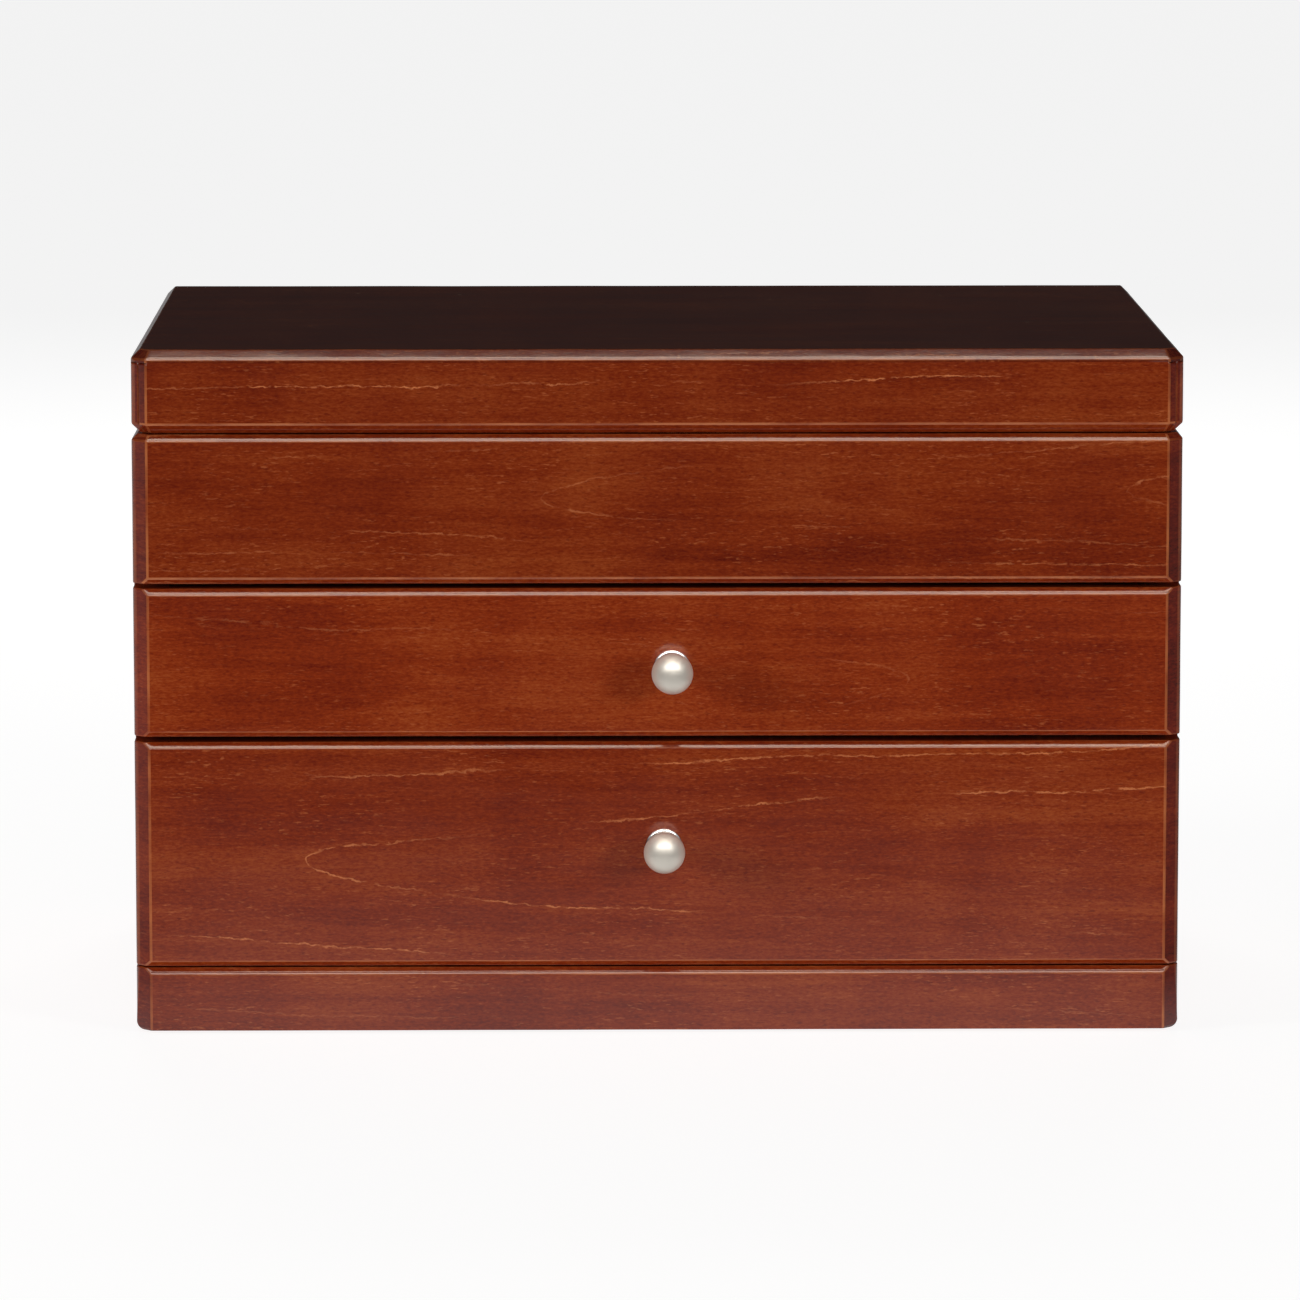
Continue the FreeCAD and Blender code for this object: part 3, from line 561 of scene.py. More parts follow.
def lacquered(name, order, shift, figure, tint=1.0, gloss=0.9, **stains):
    """Stained wood under clear lacquer, with the board's own figure, whose values FIGURE names."""
    wood = bpy.context.scene.chest_wood
    material, tree, surface = fresh_material(name, IOR=1.5, Specular_IOR_Level=0.42, Coat_Weight=0.5 * gloss,
                                             Coat_Roughness=0.06)
    place = board_place(tree, order, (*shift, 0.0))
    stains = stains or {label: [c * tint for c in getattr(wood, label.lower())]
                        for label in ("Light", "Middle", "Dark")}
    marks = {label: put(tree, "ShaderNodeAttribute", {"attribute_name": label}).outputs["Fac"]
             for label in ("arris", "end_grain")}
    grain = in_group(tree, board_figure(), Place=place, End_grain=marks["end_grain"], **stains,
                     **dict(zip(FIGURE, figure)))
    worn = in_group(tree, arris_wear(), Place=place, Arris=marks["arris"], Color=grain["Color"])
    rough = in_group(tree, handling(), Place=place, Smooth=MATT - POLISH * gloss,
                     Smeared=SMEARED - POLISH * gloss)
    height = calc(tree, "MULTIPLY_ADD", grain["Height"], 0.05, grainy(tree, place, (45, 90, 90)))
    wire(tree, surface, Base_Color=worn["Color"], Roughness=rough["Roughness"],
         Normal=bumped(tree, height, 1.0, 0.00016))
    return material


def velvet(name, shade=1.0):
    material, tree, surface = fresh_material(name, Roughness=0.95, Specular_IOR_Level=0.15, Sheen_Weight=0.6,
                                             Sheen_Roughness=0.35, Sheen_Tint=(1.0, 0.95, 0.86))
    pile = [c * shade for c in bpy.context.scene.chest_lining.pile]
    made = in_group(tree, velvet_pile(), Place=object_place(tree), Pile=pile)
    wire(tree, surface, Base_Color=made["Color"], Normal=bumped(tree, made["Height"], 0.7, 0.0003))
    return material


def felt(name):
    material, tree, surface = fresh_material(name, Roughness=0.95, Specular_IOR_Level=0.1)
    fibres = patches(tree, object_place(tree), 1900, 0.3, 0.7, 3, 0.7)
    wire(tree, surface, Base_Color=blended(tree, fibres, (0.035, 0.022, 0.016), (0.11, 0.075, 0.055)),
         Normal=bumped(tree, fibres, 0.8, 0.0002))
    return material


def metal(name, color, smooth_part, smeared, brush=900, bump_height=0.00001, tarnish=0.9, metallic=1.0):
    """Cloudy, faintly brushed metal. The brush is its noise in cycles per metre."""
    material, tree, surface = fresh_material(name, Metallic=metallic)
    where = object_place(tree)
    cloudy = patches(tree, where, 160, 0.35, 0.65, 3, 0.6)
    rough = in_group(tree, handling(), Place=where, Smooth=smooth_part, Smeared=smeared)
    wire(tree, surface, Base_Color=blended(tree, cloudy, color, [c * tarnish for c in color]),
         Roughness=rough["Roughness"], Normal=bumped(tree, grainy(tree, where, brush), 0.5, bump_height))
    return material


def mirror_silver(name):
    material, tree, surface = fresh_material(name, Metallic=1.0)
    where = object_place(tree)
    rough = in_group(tree, handling(), Place=where, Smooth=0.01, Smeared=0.05)
    dust = times(tree, patches(tree, where, 500, 0.6, 0.8, 2, 0.6), 0.2)
    wire(tree, surface, Base_Color=blended(tree, dust, (0.92, 0.94, 0.94), (0.78, 0.78, 0.76)),
         Roughness=rough["Roughness"])
    return material


# ---------------------------------------------------------------- pieces

def near(a, b, within=0.0002):
    return abs(a - b) < within


def outer_weight(point):
    """How much an edge of the chest's outside is rounded, as a share of the corner rounding."""
    wood = bpy.context.scene.chest_wood
    arris = wood.arris / wood.corner
    in_front = point.y < FRONT + CHAMFER_DEPTH
    if near(abs(point.x), HIGH.x):
        return 1.0 if in_front else arris
    if near(point.y, FRONT) or near(point.y, BACK) or near(point.z, HIGH.z):
        return arris
    return arris if in_front and abs(point.x) > HIGH.x - CHAMFER_DEPTH else 0.0


def mark_wear(piece, grain_axis):
    """Marks which faces cut the grain, and leaves less wear on the arrises behind the front. Left ends get
    less of the end-grain darkening: painted light, as if lit from the left.
    """
    end_grain = piece.data.attributes.new("end_grain", "FLOAT", "FACE")
    arris = piece.data.attributes["arris"]
    for face in piece.data.polygons:
        turned = abs(face.normal["xyz".index(grain_axis)])
        # painted light: left-facing ends of boards along X are darkened less, so they read lighter as if lit
        # from the left
        left_end_light_share = LEFT_END_PAINTED_LIGHT if grain_axis == "x" and face.normal.x < 0.0 else 1.0
        end_grain.data[face.index].value = left_end_light_share * min(1.0, max(0.0, (turned - 0.2) / 0.5))
        if face.center.y > FRONT + ROUNDED_DEPTH:
            arris.data[face.index].value *= HIDDEN_WEAR


def outer_board(node, name, order, shift, figure, tint=1.0, steps=(CELL,) * 3, joint=None, inner=0.18):
    """A lacquered outside board: rounded on its outer edges, eased on the others and sanded by hand.
    It stays sharp at the level of its joint with a board that carries the same surface on."""
    wood = bpy.context.scene.chest_wood
    piece = copy_of(node, name)

    def weigh(point, edge):
        if point.z < FOOT_LEVEL or (joint is not None and near(point.z, joint)):
            return 0.0
        return max(outer_weight(point), inner)

    soften(piece, weigh, wood.corner)
    mark_wear(piece, order[0])
    score(piece, steps)
    hand_sand(piece, wood.unevenness)
    smooth(piece)
    dress_in(piece, lacquered(f"Lacquered {node}".replace("_", " "), order, shift, figure, tint))
    fit(piece, node)


def plain_board(node, name, material, ease=0.0005, steps=(0.012, 0.012, 0.012)):
    """An inside board with eased edges."""
    piece = copy_of(node, name)
    soften(piece, lambda point, edge: 1.0, ease, 2)
    score(piece, steps)
    hand_sand(piece, bpy.context.scene.chest_wood.unevenness)
    smooth(piece)
    dress_in(piece, material)
    fit(piece, node)


class ChestFronts(bpy.types.Operator):
    """Builds the fixed front, the plinth front and both drawer faces"""
    bl_idname = "chest.fronts"
    bl_label = "Fronts"

    def execute(self, context):
        for node, name, shift, tint, *figure in (
                ("upper_front", "upper_front_board", (0.31, 0.04), 0.93,
                 0.275, 0.196, 0.0012, 0.16, 0.45, 0.42),
                ("upper_drawer_face", "upper_drawer_front_board", (0.72, 0.11), 1.10,
                 1.1, 0.21, -0.002, 0.3, 0.25, 0.42),
                ("lower_drawer_face", "lower_drawer_front_board", (0.0, 0.0), 1.0,
                 -0.098, 0.050, 0.0020, 0.31, 0.7, 0.34),
                ("plinth_front", "plinth_front_board", (1.37, 0.29), 1.0, 0.9, 0.33, 0.003, 0.2, 0.2, 0.36)):
            outer_board(node, name, "xzy", shift, figure, tint)
        return {"FINISHED"}


class ChestCase(bpy.types.Operator):
    """Builds the sides, the back and the inside boards of the case"""
    bl_idname = "chest.case"
    bl_label = "Case"

    def execute(self, context):
        for node, shift in (("left_side", (0.2, 0.9)), ("right_side", (1.6, 0.4))):
            outer_board(node, f"{node}_board", "yzx", shift,
                        (shift[0] + 0.03, shift[1] + 0.09, 0.004, 0.09, 0.6, 0.4), steps=(0.0, 0.008, 0.008))
        finish = lacquered("Lacquered back", "xzy", (2.3, 0.6), (2.2, 0.69, 0.006, 0.1, 0.55, 0.4))
        plain_board("back_panel", "back_board", finish, 0.00025)
        inner = lacquered("Stained inner boards", "xyz", (3.1, 0.2), (*PLAIN, 0.3, 0.4), gloss=0.3)
        for node in ("base_panel", "drawer_shelf", "tray_floor"):
            plain_board(node, f"{node}_board", inner)
        return {"FINISHED"}


class ChestLid(bpy.types.Operator):
    """Builds the lid's top and its four rails"""
    bl_idname = "chest.lid"
    bl_label = "Lid"

    def execute(self, context):
        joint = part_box("lid_front_rail")[1].z
        # the lid top's tint of 0.62 is painted shade: its stain is darkened so that the top reads dark, as
        # where little light falls from above
        outer_board("lid_top_panel", "lid_top_board", "xyz", (1.9, 0.53),
                    (1.8, 0.50, 0.006, 0.1, 0.35, 0.3, 0.8), 0.62, (CELL, CELL, 0.0), joint, 0.1)
        outer_board("lid_front_rail", "lid_front_board", "xzy", (1.9, 0.53),
                    (-1.98, 0.640, 0.00156, 2.24, 0.8, 0.4), 0.90, joint=joint, inner=0.1)
        for node, shift in (("lid_left_rail", (0.7, 0.13)), ("lid_right_rail", (2.9, 0.44))):
            outer_board(node, node.replace("rail", "board"), "yzx", shift,
                        (shift[0], shift[1] + 0.18, 0.002, 0.15, 0.5, 0.4), joint=joint, inner=0.1)
        back = lacquered("Lacquered lid back", "xzy", (2.5, 0.53), (2.4, 0.71, 0.002, 0.2, 0.5, 0.4))
        plain_board("lid_back_rail", "lid_back_board", back, 0.00022)
        return {"FINISHED"}


class ChestDrawerBoxes(bpy.types.Operator):
    """Builds the walls and bottoms of both drawers"""
    bl_idname = "chest.drawer_boxes"
    bl_label = "Drawer boxes"

    def execute(self, context):
        across = lacquered("Stained drawer ends", "xzy", (4.2, 0.3), (*PLAIN, 0.35, 0.6), gloss=0.35)
        along = lacquered("Stained drawer walls", "yzx", (5.1, 0.8), (*PLAIN, 0.35, 0.6), gloss=0.35)
        flat = lacquered("Stained drawer bottoms", "xyz", (6.3, 0.5), (*PLAIN, 0.3, 0.6), gloss=0.2)
        for drawer in ("upper_drawer", "lower_drawer"):
            for part, finish in (("box_front", across), ("back", across), ("left_wall", along),
                                 ("right_wall", along), ("bottom", flat)):
                node = f"{drawer}_{part}"
                plain_board(node, f"{node}_board", finish, 0.0006)
        return {"FINISHED"}


class ChestLinings(bpy.types.Operator):
    """Covers the cards, partitions and lid lining with velvet"""
    bl_idname = "chest.linings"
    bl_label = "Linings"

    def execute(self, context):
        edge = context.scene.chest_lining.edge
        lining, partition = velvet("Lining velvet", 0.95), velvet("Partition velvet")
        cards = [("tray_lining", edge), ("upper_drawer_lining", edge), ("lower_drawer_lining", edge),
                 ("lid_lining_board", edge), ("mirror_surround", 1.3 * edge)]
        boards = [(n, 1.9 * edge) for n in ("tray_partitions", "upper_drawer_partitions",
                                            "lower_drawer_partitions")]
        for finish, nodes in ((lining, cards), (partition, boards)):
            for node, width in nodes:
                piece = copy_of(node, f"{node}_velvet")
                if node == "mirror_surround":
                    part_solids(piece)
                soften(piece, lambda point, edge: 1.0, width, 3)
                score(piece, (0.007, 0.007, 0.007))
                hand_sand(piece, 0.0003, 0.012)
                smooth(piece, 60)
                dress_in(piece, finish)
                fit(piece, node)
        return {"FINISHED"}


class ChestRingRolls(bpy.types.Operator):
    """Sews one ring roll, plumps it and lays copies of it in the tray"""
    bl_idname = "chest.ring_rolls"
    bl_label = "Ring rolls"

    def execute(self, context):
        settings = context.scene.chest_lining
        low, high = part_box("ring_rolls")
        radius = (high.z - low.z) / 2
        pitch = (high.y - low.y - 2 * radius) / (RING_ROLLS - 1)
        centre = Vector((0.0, low.y + radius, low.z + radius))
        bpy.ops.mesh.primitive_cylinder_add(
            vertices=40, radius=radius - settings.plumpness, depth=high.x - low.x - ROLL_END_ROOM,
            location=centre, rotation=(0.0, QUARTER, 0.0))
        roll = added("ring_roll_1")
        into_edit(roll, "FACE")
        choose(roll, "FACE", lambda face: abs(face.normal.x) > UPRIGHT)
        bpy.ops.mesh.inset(thickness=0.0022, use_individual=True)
        bpy.ops.transform.resize(value=(1.014, 1.0, 1.0), center_override=centre)
        out_of_edit()
        finish_with(roll, "REMESH", mode="VOXEL", voxel_size=0.0020, use_smooth_shade=True)
        self.plump(roll, settings.plumpness)
        # the seam under the roll, where the velvet is drawn in
        into_edit(roll, "VERT")
        choose(roll, "VERT", lambda v: v.co.z < centre.z - 0.8 * radius and abs(v.co.y - centre.y) < 0.0012)
        bpy.ops.transform.translate(value=(0.0, 0.0, 0.0006))
        out_of_edit()
        hand_sand(roll, 0.0005, 0.006)
        finish_with(roll, "SUBSURF", levels=1, render_levels=1)
        pick(roll)
        bpy.ops.object.shade_smooth()
        dress_in(roll, velvet("Ring roll velvet", 1.03))
        rolls = [roll]
        chance = random.Random(7)
        for i in range(1, RING_ROLLS):
            step = Vector((0.0, pitch * i, 0.0))
            twin = twin_of(roll, f"ring_roll_{i + 1}", step)
            pick(twin)
            turn = chance.uniform(-0.5, 0.5)
            bpy.ops.transform.rotate(value=turn, orient_axis="X", center_override=centre + step)
            if i % 2:
                bpy.ops.transform.rotate(value=math.pi, orient_axis="Z", center_override=centre + step)
            at_origin(twin)
            rolls.append(twin)
        for piece in rolls:
            fit(piece, "ring_rolls")
        return {"FINISHED"}

    def plump(self, roll, limit):
        """Blows the cover out a little, as foam does, and holds every point near its start."""
        start = [vertex.co.copy() for vertex in roll.data.vertices]
        pick(roll)
        cloth = roll.modifiers.new("Cloth", "CLOTH")
        for name, value in (("use_pressure", True), ("uniform_pressure_force", 4.0), ("quality", 5),
                            ("mass", 0.2), ("tension_stiffness", 12.0), ("compression_stiffness", 12.0)):
            setattr(cloth.settings, name, value)
        cloth.settings.effector_weights.gravity = 0.0
        cloth.point_cache.frame_start, cloth.point_cache.frame_end = 1, CLOTH_FRAMES
        for step in range(1, CLOTH_FRAMES + 1):
            bpy.context.scene.frame_set(step)
        bpy.ops.object.modifier_apply(modifier=cloth.name)
        bpy.context.scene.frame_set(1)
        for vertex, home in zip(roll.data.vertices, start):
            move = vertex.co - home
            if move.length > limit:
                vertex.co = home + move * (limit / move.length)


class ChestMirror(bpy.types.Operator):
    """Builds the lid's mirror with its bevelled border"""
    bl_idname = "chest.mirror"
    bl_label = "Mirror"

    def execute(self, context):
        low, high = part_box("mirror")
        bpy.ops.mesh.primitive_cube_add(size=1.0, location=(low + high) / 2, scale=high - low)
        piece = added("mirror_glass")
        into_edit(piece, "FACE")
        choose(piece, "FACE", lambda face: face.normal.z < -UPRIGHT)
        bpy.ops.mesh.inset(thickness=0.0002)
        bpy.ops.mesh.inset(thickness=BEVEL_BORDER)
        choose(piece, "VERT", lambda v: near(v.co.z, low.z, 1e-5) and any(
            near(v.co[axis], end[axis], 0.001) for axis in (0, 1) for end in (low, high)))
        bpy.ops.transform.translate(value=(0.0, 0.0, BEVEL_RISE))
        out_of_edit()
        soften(piece, lambda point, edge: 1.0, 0.00015, 2)
        smooth(piece, 3)
        dress_in(piece, mirror_silver("Mirror silver"))
        fit(piece, "mirror")
        return {"FINISHED"}


class ChestKnobs(bpy.types.Operator):
    """Turns the ball knobs and their collars"""
    bl_idname = "chest.knobs"
    bl_label = "Knobs"

    def execute(self, context):
        metals = context.scene.chest_metal
        satin = metal("Satin nickel", metals.nickel, 0.40, 0.46, 2400, 0.000012, 0.95, metallic=0.5)
        bright = metal("Bright nickel", (0.86, 0.85, 0.83), 0.06, 0.12, 700, 0.000006, 0.95)
        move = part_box("lower_knob")[0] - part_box("upper_knob")[0]
        for turn, node, kind, finish in ((self.turn_ball, "knob", "ball", satin),
                                         (self.turn_collar, "knob_collar", "ring", bright)):
            piece = turn(*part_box(f"upper_{node}"), f"upper_knob_{kind}")
            smooth(piece, 50)
            dress_in(piece, finish)
            fit(twin_of(piece, f"lower_knob_{kind}", move), f"lower_{node}")
            fit(piece, f"upper_{node}")
        return {"FINISHED"}

    def turn_ball(self, low, high, name):
        """A ball whose back is opened at the neck and drawn out to the collar."""
        radius = (high.x - low.x) / 2
        centre = Vector(((low.x + high.x) / 2, low.y + radius, (low.z + high.z) / 2))
        bpy.ops.mesh.primitive_uv_sphere_add(segments=64, ring_count=40, radius=radius, location=centre,
                                             rotation=(QUARTER, 0.0, 0.0))
        ball = added(name)
        into_edit(ball, "FACE")
        waist = math.sqrt(radius ** 2 - NECK_RADIUS ** 2)
        choose(ball, "FACE", lambda face: face.calc_center_median().y > centre.y + waist)
        bpy.ops.mesh.delete(type="FACE")
        choose(ball, "EDGE", lambda edge: edge.is_boundary)
        points = [v.co for v in bmesh.from_edit_mesh(ball.data).verts]
        start, foot = max(p.y for p in points), high.y - 0.00002
        wide = max(math.hypot(p.x - centre.x, p.z - centre.z) for p in points if p.y > start - 1e-6)
        now = start
        for share, across in ((0.12, 0.0027), (0.35, 0.0026), (0.70, 0.0026), (0.88, 0.0028), (1.0, 0.0033)):
            at = start + (foot - start) * share
            bpy.ops.mesh.extrude_region_move()
            bpy.ops.transform.translate(value=(0.0, at - now, 0.0))
            bpy.ops.transform.resize(value=(across / wide, 1.0, across / wide),
                                     center_override=(centre.x, at, centre.z))
            now, wide = at, across
        bpy.ops.mesh.edge_face_add()
        out_of_edit()
        return ball

    def turn_collar(self, low, high, name):
        """A disc with a rounded rim and a face that is dished a little."""
        radius = (high.x - low.x) / 2
        centre = (low + high) / 2
        bpy.ops.mesh.primitive_cylinder_add(vertices=72, radius=radius, depth=high.y - low.y, location=centre,
                                            rotation=(QUARTER, 0.0, 0.0))
        collar = added(name)
        into_edit(collar, "FACE")
        choose(collar, "FACE", lambda face: face.normal.y < -UPRIGHT)
        bpy.ops.mesh.inset(thickness=0.0016)
        bpy.ops.transform.translate(value=(0.0, 0.0003, 0.0))
        out_of_edit()
        soften(collar, lambda point, edge: 1.0 if point.y < centre.y and edge.calc_length() < 0.002
               and math.hypot(point.x - centre.x, point.z - centre.z) > 0.9 * radius else 0.0, 0.00125, 6)
        return collar


class ChestHinges(bpy.types.Operator):
    """Finishes the hinge leaves and sets a slotted screw in each hole"""
    bl_idname = "chest.hinges"
    bl_label = "Hinges"

    def execute(self, context):
        brass = metal("Hinge brass", context.scene.chest_metal.brass, 0.16, 0.32, (500, 2500, 2500),
                      tarnish=0.86)
        for side in ("left", "right"):
            for owner in ("case", "lid"):
                node = f"{side}_hinge_{owner}_leaf"
                piece = copy_of(node, f"{node}_brass")
                soften(piece, lambda point, edge: float(edge.calc_length() > KNUCKLE_CELL), 0.00012, 2)
                smooth(piece, 35)
                dress_in(piece, brass)
                fit(piece, node)
        low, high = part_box("hinge_case_screws")
        lid_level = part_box("hinge_lid_screws")[0].z
        first = Vector((low.x + SCREW_HEAD, (low.y + high.y) / 2, high.z))
        last = high.x - low.x - 2 * SCREW_HEAD
        head = self.slotted_head(first, brass)
        places = (SCREW_GAP, last - SCREW_GAP, last)
        case = [head] + [twin_of(head, "case_screw", (place, 0.0, 0.0)) for place in places]
        lid = []
        for place in (0.0, *places):
            middle = first + Vector((place, 0.0, 0.0))
            twin = twin_of(head, "lid_screw", (place, 0.0, 0.0))
            twin.data.transform(Matrix.Translation((middle.x, middle.y, lid_level))
                                @ Matrix.Rotation(math.pi, 4, "X") @ Matrix.Translation(-middle))
            lid.append(twin)
        for pieces, name, node in ((case, "case_hinge_screws", "hinge_case_screws"),
                                   (lid, "lid_hinge_screws", "hinge_lid_screws")):
            pick(*pieces)
            bpy.ops.object.join()
            pieces[0].name = name
            fit(pieces[0], node)
        return {"FINISHED"}

    def slotted_head(self, middle, finish):
        """A countersunk screw with a slot across its head and a pointed end. middle is on top of its head."""
        down = Vector((0.0, 0.0, -1.0))
        bpy.ops.mesh.primitive_cone_add(vertices=24, radius1=0.0010, radius2=SCREW_HEAD, depth=0.001,
                                        location=middle + 0.0005 * down)
        screw = added("case_screw")
        into_edit(screw, "FACE")
        choose(screw, "FACE", lambda face: face.normal.z < -UPRIGHT)
        bpy.ops.mesh.extrude_region_move()
        bpy.ops.transform.translate(value=0.0055 * down)
        bpy.ops.mesh.extrude_region_move()
        bpy.ops.transform.translate(value=0.0015 * down)
        bpy.ops.transform.resize(value=(0.1, 0.1, 1.0), center_override=middle + 0.008 * down)
        for side in (-SLOT_HALF, SLOT_HALF):
            bpy.ops.mesh.select_all(action="SELECT")
            bpy.ops.mesh.bisect(plane_co=middle + Vector((side, 0.0, 0.0)), plane_no=(1.0, 0.0, 0.0))
        choose(screw, "FACE", lambda face: face.normal.z > UPRIGHT
               and abs(face.calc_center_median().x - middle.x) < SLOT_HALF)
        bpy.ops.mesh.extrude_region_move()
        bpy.ops.transform.translate(value=0.0005 * down)
        out_of_edit()
        smooth(screw, 30)
        dress_in(screw, finish)
        return screw


class ChestSmallParts(bpy.types.Operator):
    """Makes the felt feet and bumpers and finishes the runners, blocks, pins and knob screws"""
    bl_idname = "chest.small_parts"
    bl_label = "Small parts"

    def execute(self, context):
        feet = felt("Brown felt")
        for node in ("felt_feet", "drawer_bumpers"):
            piece = copy_of(node, f"{node}_pads")
            soften(piece, lambda point, edge: 1.0, 0.0003, 3)
            smooth(piece, 50)
            dress_in(piece, feet)
            fit(piece, node)
        bare = lacquered("Bare beech", "yzx", (8.0, 0.4), (*PLAIN, 0.15, 0.4), gloss=0.0,
                         Light=(0.62, 0.42, 0.25), Middle=(0.50, 0.31, 0.17), Dark=(0.36, 0.20, 0.10))
        steel = metal("Zinc plated steel", (0.62, 0.63, 0.66), 0.25, 0.4, 1500, tarnish=0.85)
        brass = metal("Pin brass", context.scene.chest_metal.brass, 0.2, 0.35)
        for node in ("upper_drawer_runners", "lower_drawer_runners", "corner_blocks"):
            plain_board(node, f"{node}_beech", bare, 0.0005, (0.02, 0.02, 0.02))
        for node, finish in (("hinge_pins", brass), ("upper_knob_screw", steel), ("lower_knob_screw", steel)):
            dress_in(frame["nodes"][node], finish)
        return {"FINISHED"}


class ChestStage(bpy.types.Operator):
    """Lays the floor and sets the lights and the camera"""
    bl_idname = "chest.stage"
    bl_label = "Stage"

    def execute(self, context):
        settings = context.scene.chest_stage
        context.scene.view_settings.view_transform = "Standard"
        self.floor(settings)
        self.surroundings()
        warm, plain, amber = (1.0, 0.97, 0.94), (1.0, 0.99, 0.98), (1.0, 0.84, 0.68)
        chest = (0.0, 0.0, 0.10)
        for lamp in (
                ("Front soft box", (0.0, -1.95, 0.55), chest, (0.90, 0.45), 3.6, plain, True),
                ("Left soft box", (-1.60, -0.75, 0.50), chest, (0.45, 0.45), 11.0, warm, True),
                ("Right soft box", (1.25, -1.25, 0.50), chest, (0.45, 0.45), 8.4, warm, True),
                ("Back soft box", (0.0, 1.50, 1.05), chest, (1.0, 0.50), 8.0, plain, True),
                ("High soft box", (0.0, -1.05, 1.15), (0.0, -0.1, 0.10), (2.4, 0.80), 24.0, warm, False),
                ("Overhead strip", (0.0, -0.36, 1.60), (0.0, -0.10, 0.2), (1.4, 0.20), 5.0, amber, False)):
            self.soft_light(*lamp)
        bpy.ops.object.camera_add(location=settings.camera_place, rotation=(
            math.pi / 2 - settings.camera_tilt, 0.0, settings.camera_turn))
        context.scene.camera = camera = context.object
        camera.name = "Camera"
        camera.data.lens = settings.lens
        camera.data.sensor_width = 36.0
        camera.data.clip_end = 100.0
        return {"FINISHED"}

    def soft_light(self, name, place, aim, size, power, color, lit):
        """An area lamp that the camera does not see. It lights the wood, or only shows in the polish."""
        bpy.ops.object.light_add(type="AREA", location=place)
        lamp = bpy.context.object
        lamp.name = name
        lamp.rotation_euler = (Vector(aim) - Vector(place)).to_track_quat("-Z", "Y").to_euler()
        lamp.data.shape = "RECTANGLE"
        lamp.data.size, lamp.data.size_y = size
        lamp.data.energy, lamp.data.color = power, color
        lamp.visible_camera = False
        lamp.visible_diffuse = lit
        lamp.visible_glossy = not lit

    def floor(self, settings):
        bpy.ops.mesh.primitive_plane_add(size=1.0, location=(0.0, 0.0, 0.0))
        floor = bpy.context.object
        floor.name = "Floor"
        into_edit(floor, "EDGE")
        bpy.ops.mesh.select_all(action="SELECT")
        bpy.ops.transform.resize(value=(60.0, 60.0, 1.0), center_override=(0.0, 0.0, 0.0))
        bpy.ops.mesh.subdivide(number_cuts=3)
        out_of_edit()
        at_origin(floor)
        material, tree, surface = fresh_material("Pale floor", Roughness=0.9, Specular_IOR_Level=0.0,
                                                 Emission_Color=(1.0, 1.0, 1.0))
        side, ahead = put(tree, "ShaderNodeSeparateXYZ", Vector=object_place(tree)).outputs[:2]
        path = put(tree, "ShaderNodeLightPath").outputs
        close = stretched(tree, ahead, -0.72, -0.12)
        middle = stretched(tree, calc(tree, "ABSOLUTE", side), 0.13, 0.24, 1.0, 0.0)
        beside = stretched(tree, side, -0.05, 0.05, 0.22, 0.08)
        level = calc(tree, "MULTIPLY_ADD", middle, calc(tree, "SUBTRACT", 0.62, beside), beside)
        mirrored = calc(tree, "ADD", times(tree, close, close, level), 0.03)
        thrown = stretched(tree, ahead, -1.3, -0.4, 0.12, 0.48, True)
        strength = blended(tree, path["Is Glossy Ray"], (settings.glow,) * 3, mirrored)
        strength = blended(tree, path["Is Diffuse Ray"], strength, thrown)
        base = blended(tree, path["Is Glossy Ray"], settings.floor, (0.0, 0.0, 0.0))
        wire(tree, surface, Emission_Strength=strength, Base_Color=base)
        dress_in(floor, material)

    def surroundings(self):
        """A dim room that reads as a pale wall to the eye and as near black to the polish."""
        world = bpy.data.worlds.new("Studio")
        bpy.context.scene.world = world
        world.use_nodes = True
        tree = world.node_tree
        toward = put(tree, "ShaderNodeSeparateXYZ",
                     Vector=put(tree, "ShaderNodeTexCoord").outputs["Generated"]).outputs
        dim = stretched(tree, toward[2], 0.35, 1.0, 0.015, 0.06, True)
        ahead = stretched(tree, toward[1], 0.2, -0.3, 0.0, 1.0, True)
        bright = stretched(tree, toward[2], 0.20, 0.60, 0.05, 0.60, True)
        path = put(tree, "ShaderNodeLightPath").outputs
        room = blended(tree, times(tree, ahead, path["Is Glossy Ray"]), dim, bright)
        seen = blended(tree, path["Is Camera Ray"], room, (1.0, 1.0, 1.0))
        wire(tree, tree.nodes["Background"], Color=seen)


class ChestPanel(bpy.types.Panel):
    """The chest's pieces and sizes, in the sidebar"""
    bl_idname = "VIEW3D_PT_chest"
    bl_label = "Jewellery chest"
    bl_space_type = "VIEW_3D"
    bl_region_type = "UI"
    bl_category = "Chest"

    def draw(self, context):
        for group in SETTINGS:
            settings = getattr(context.scene, group)
            for name in settings.__annotations__:
                self.layout.prop(settings, name)
        for step in STEPS:
            self.layout.operator(step.bl_idname)


SETTINGS = {"chest_wood": ChestWoodSettings, "chest_lining": ChestLiningSettings,
            "chest_metal": ChestMetalSettings, "chest_stage": ChestStageSettings}
STEPS = (ChestFronts, ChestCase, ChestLid, ChestDrawerBoxes, ChestLinings, ChestRingRolls, ChestMirror,
         ChestKnobs, ChestHinges, ChestSmallParts, ChestStage)


def register():
    for name, group in SETTINGS.items():
        bpy.utils.register_class(group)
        setattr(bpy.types.Scene, name, bpy.props.PointerProperty(type=group))
    for step in (*STEPS, ChestPanel):
        bpy.utils.register_class(step)


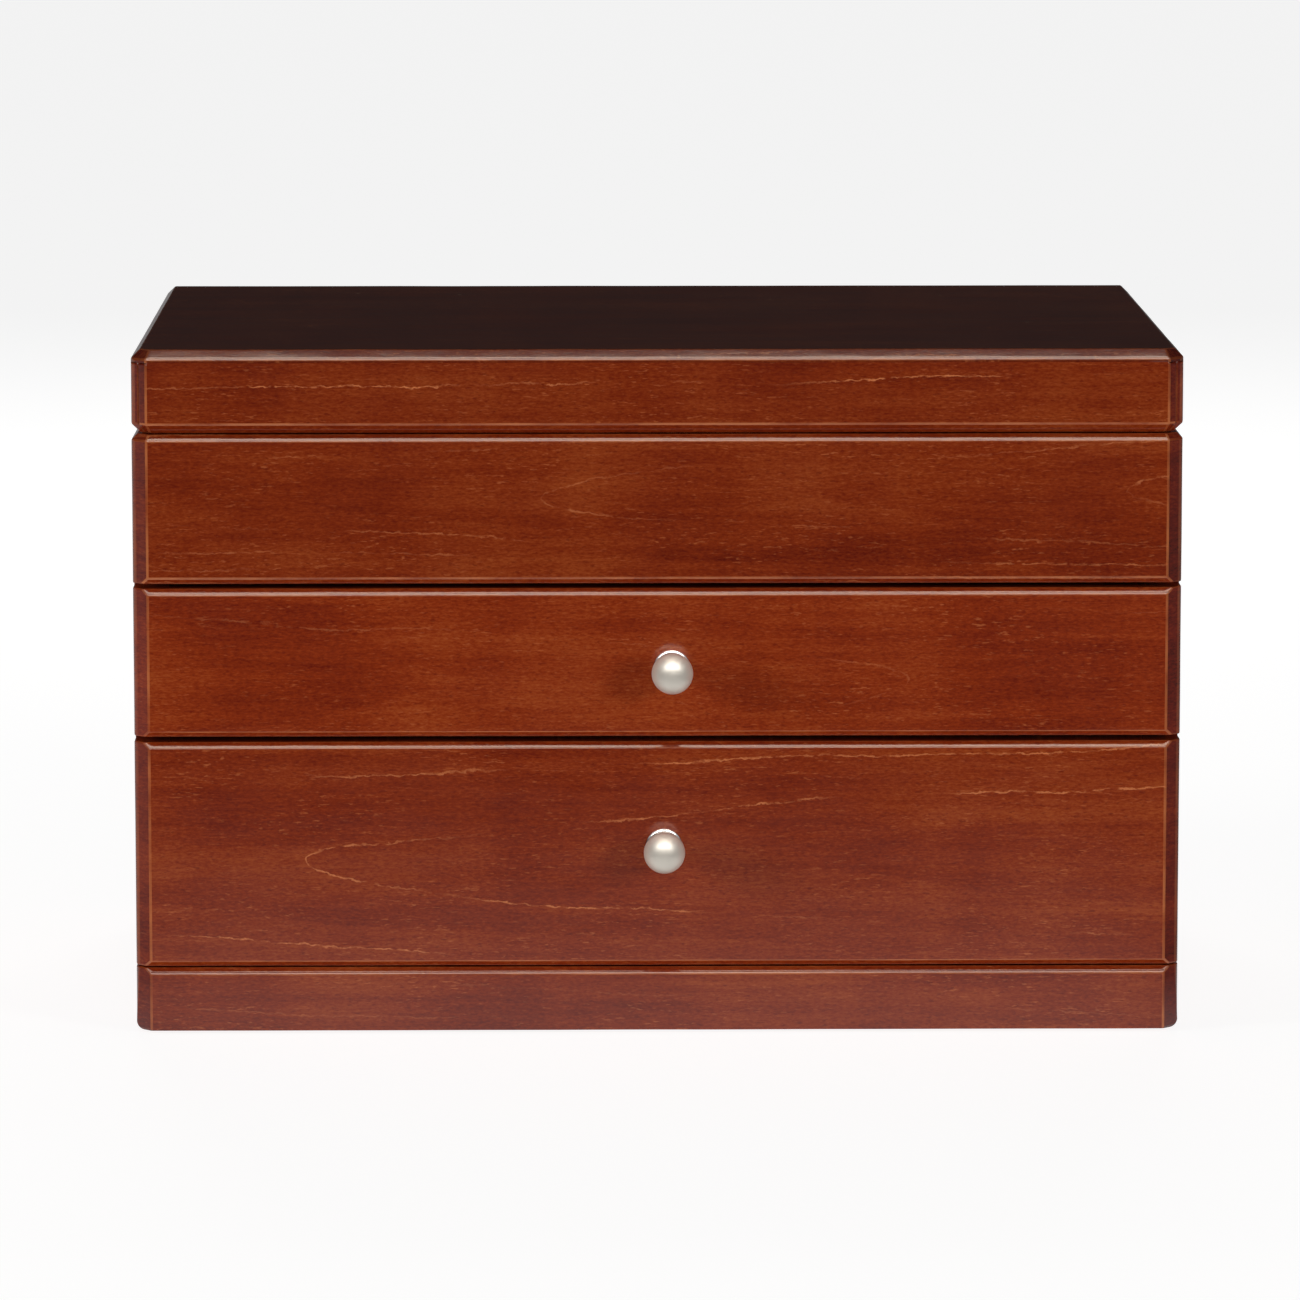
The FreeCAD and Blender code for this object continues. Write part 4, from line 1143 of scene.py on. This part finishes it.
def unregister():
    for step in (ChestPanel, *reversed(STEPS)):
        bpy.utils.unregister_class(step)
    for name, group in reversed(SETTINGS.items()):
        delattr(bpy.types.Scene, name)
        bpy.utils.unregister_class(group)


def main():
    register()
    for step in STEPS:
        family, name = step.bl_idname.split(".")
        getattr(getattr(bpy.ops, family), name)()


if __name__ == "__main__":
    main()
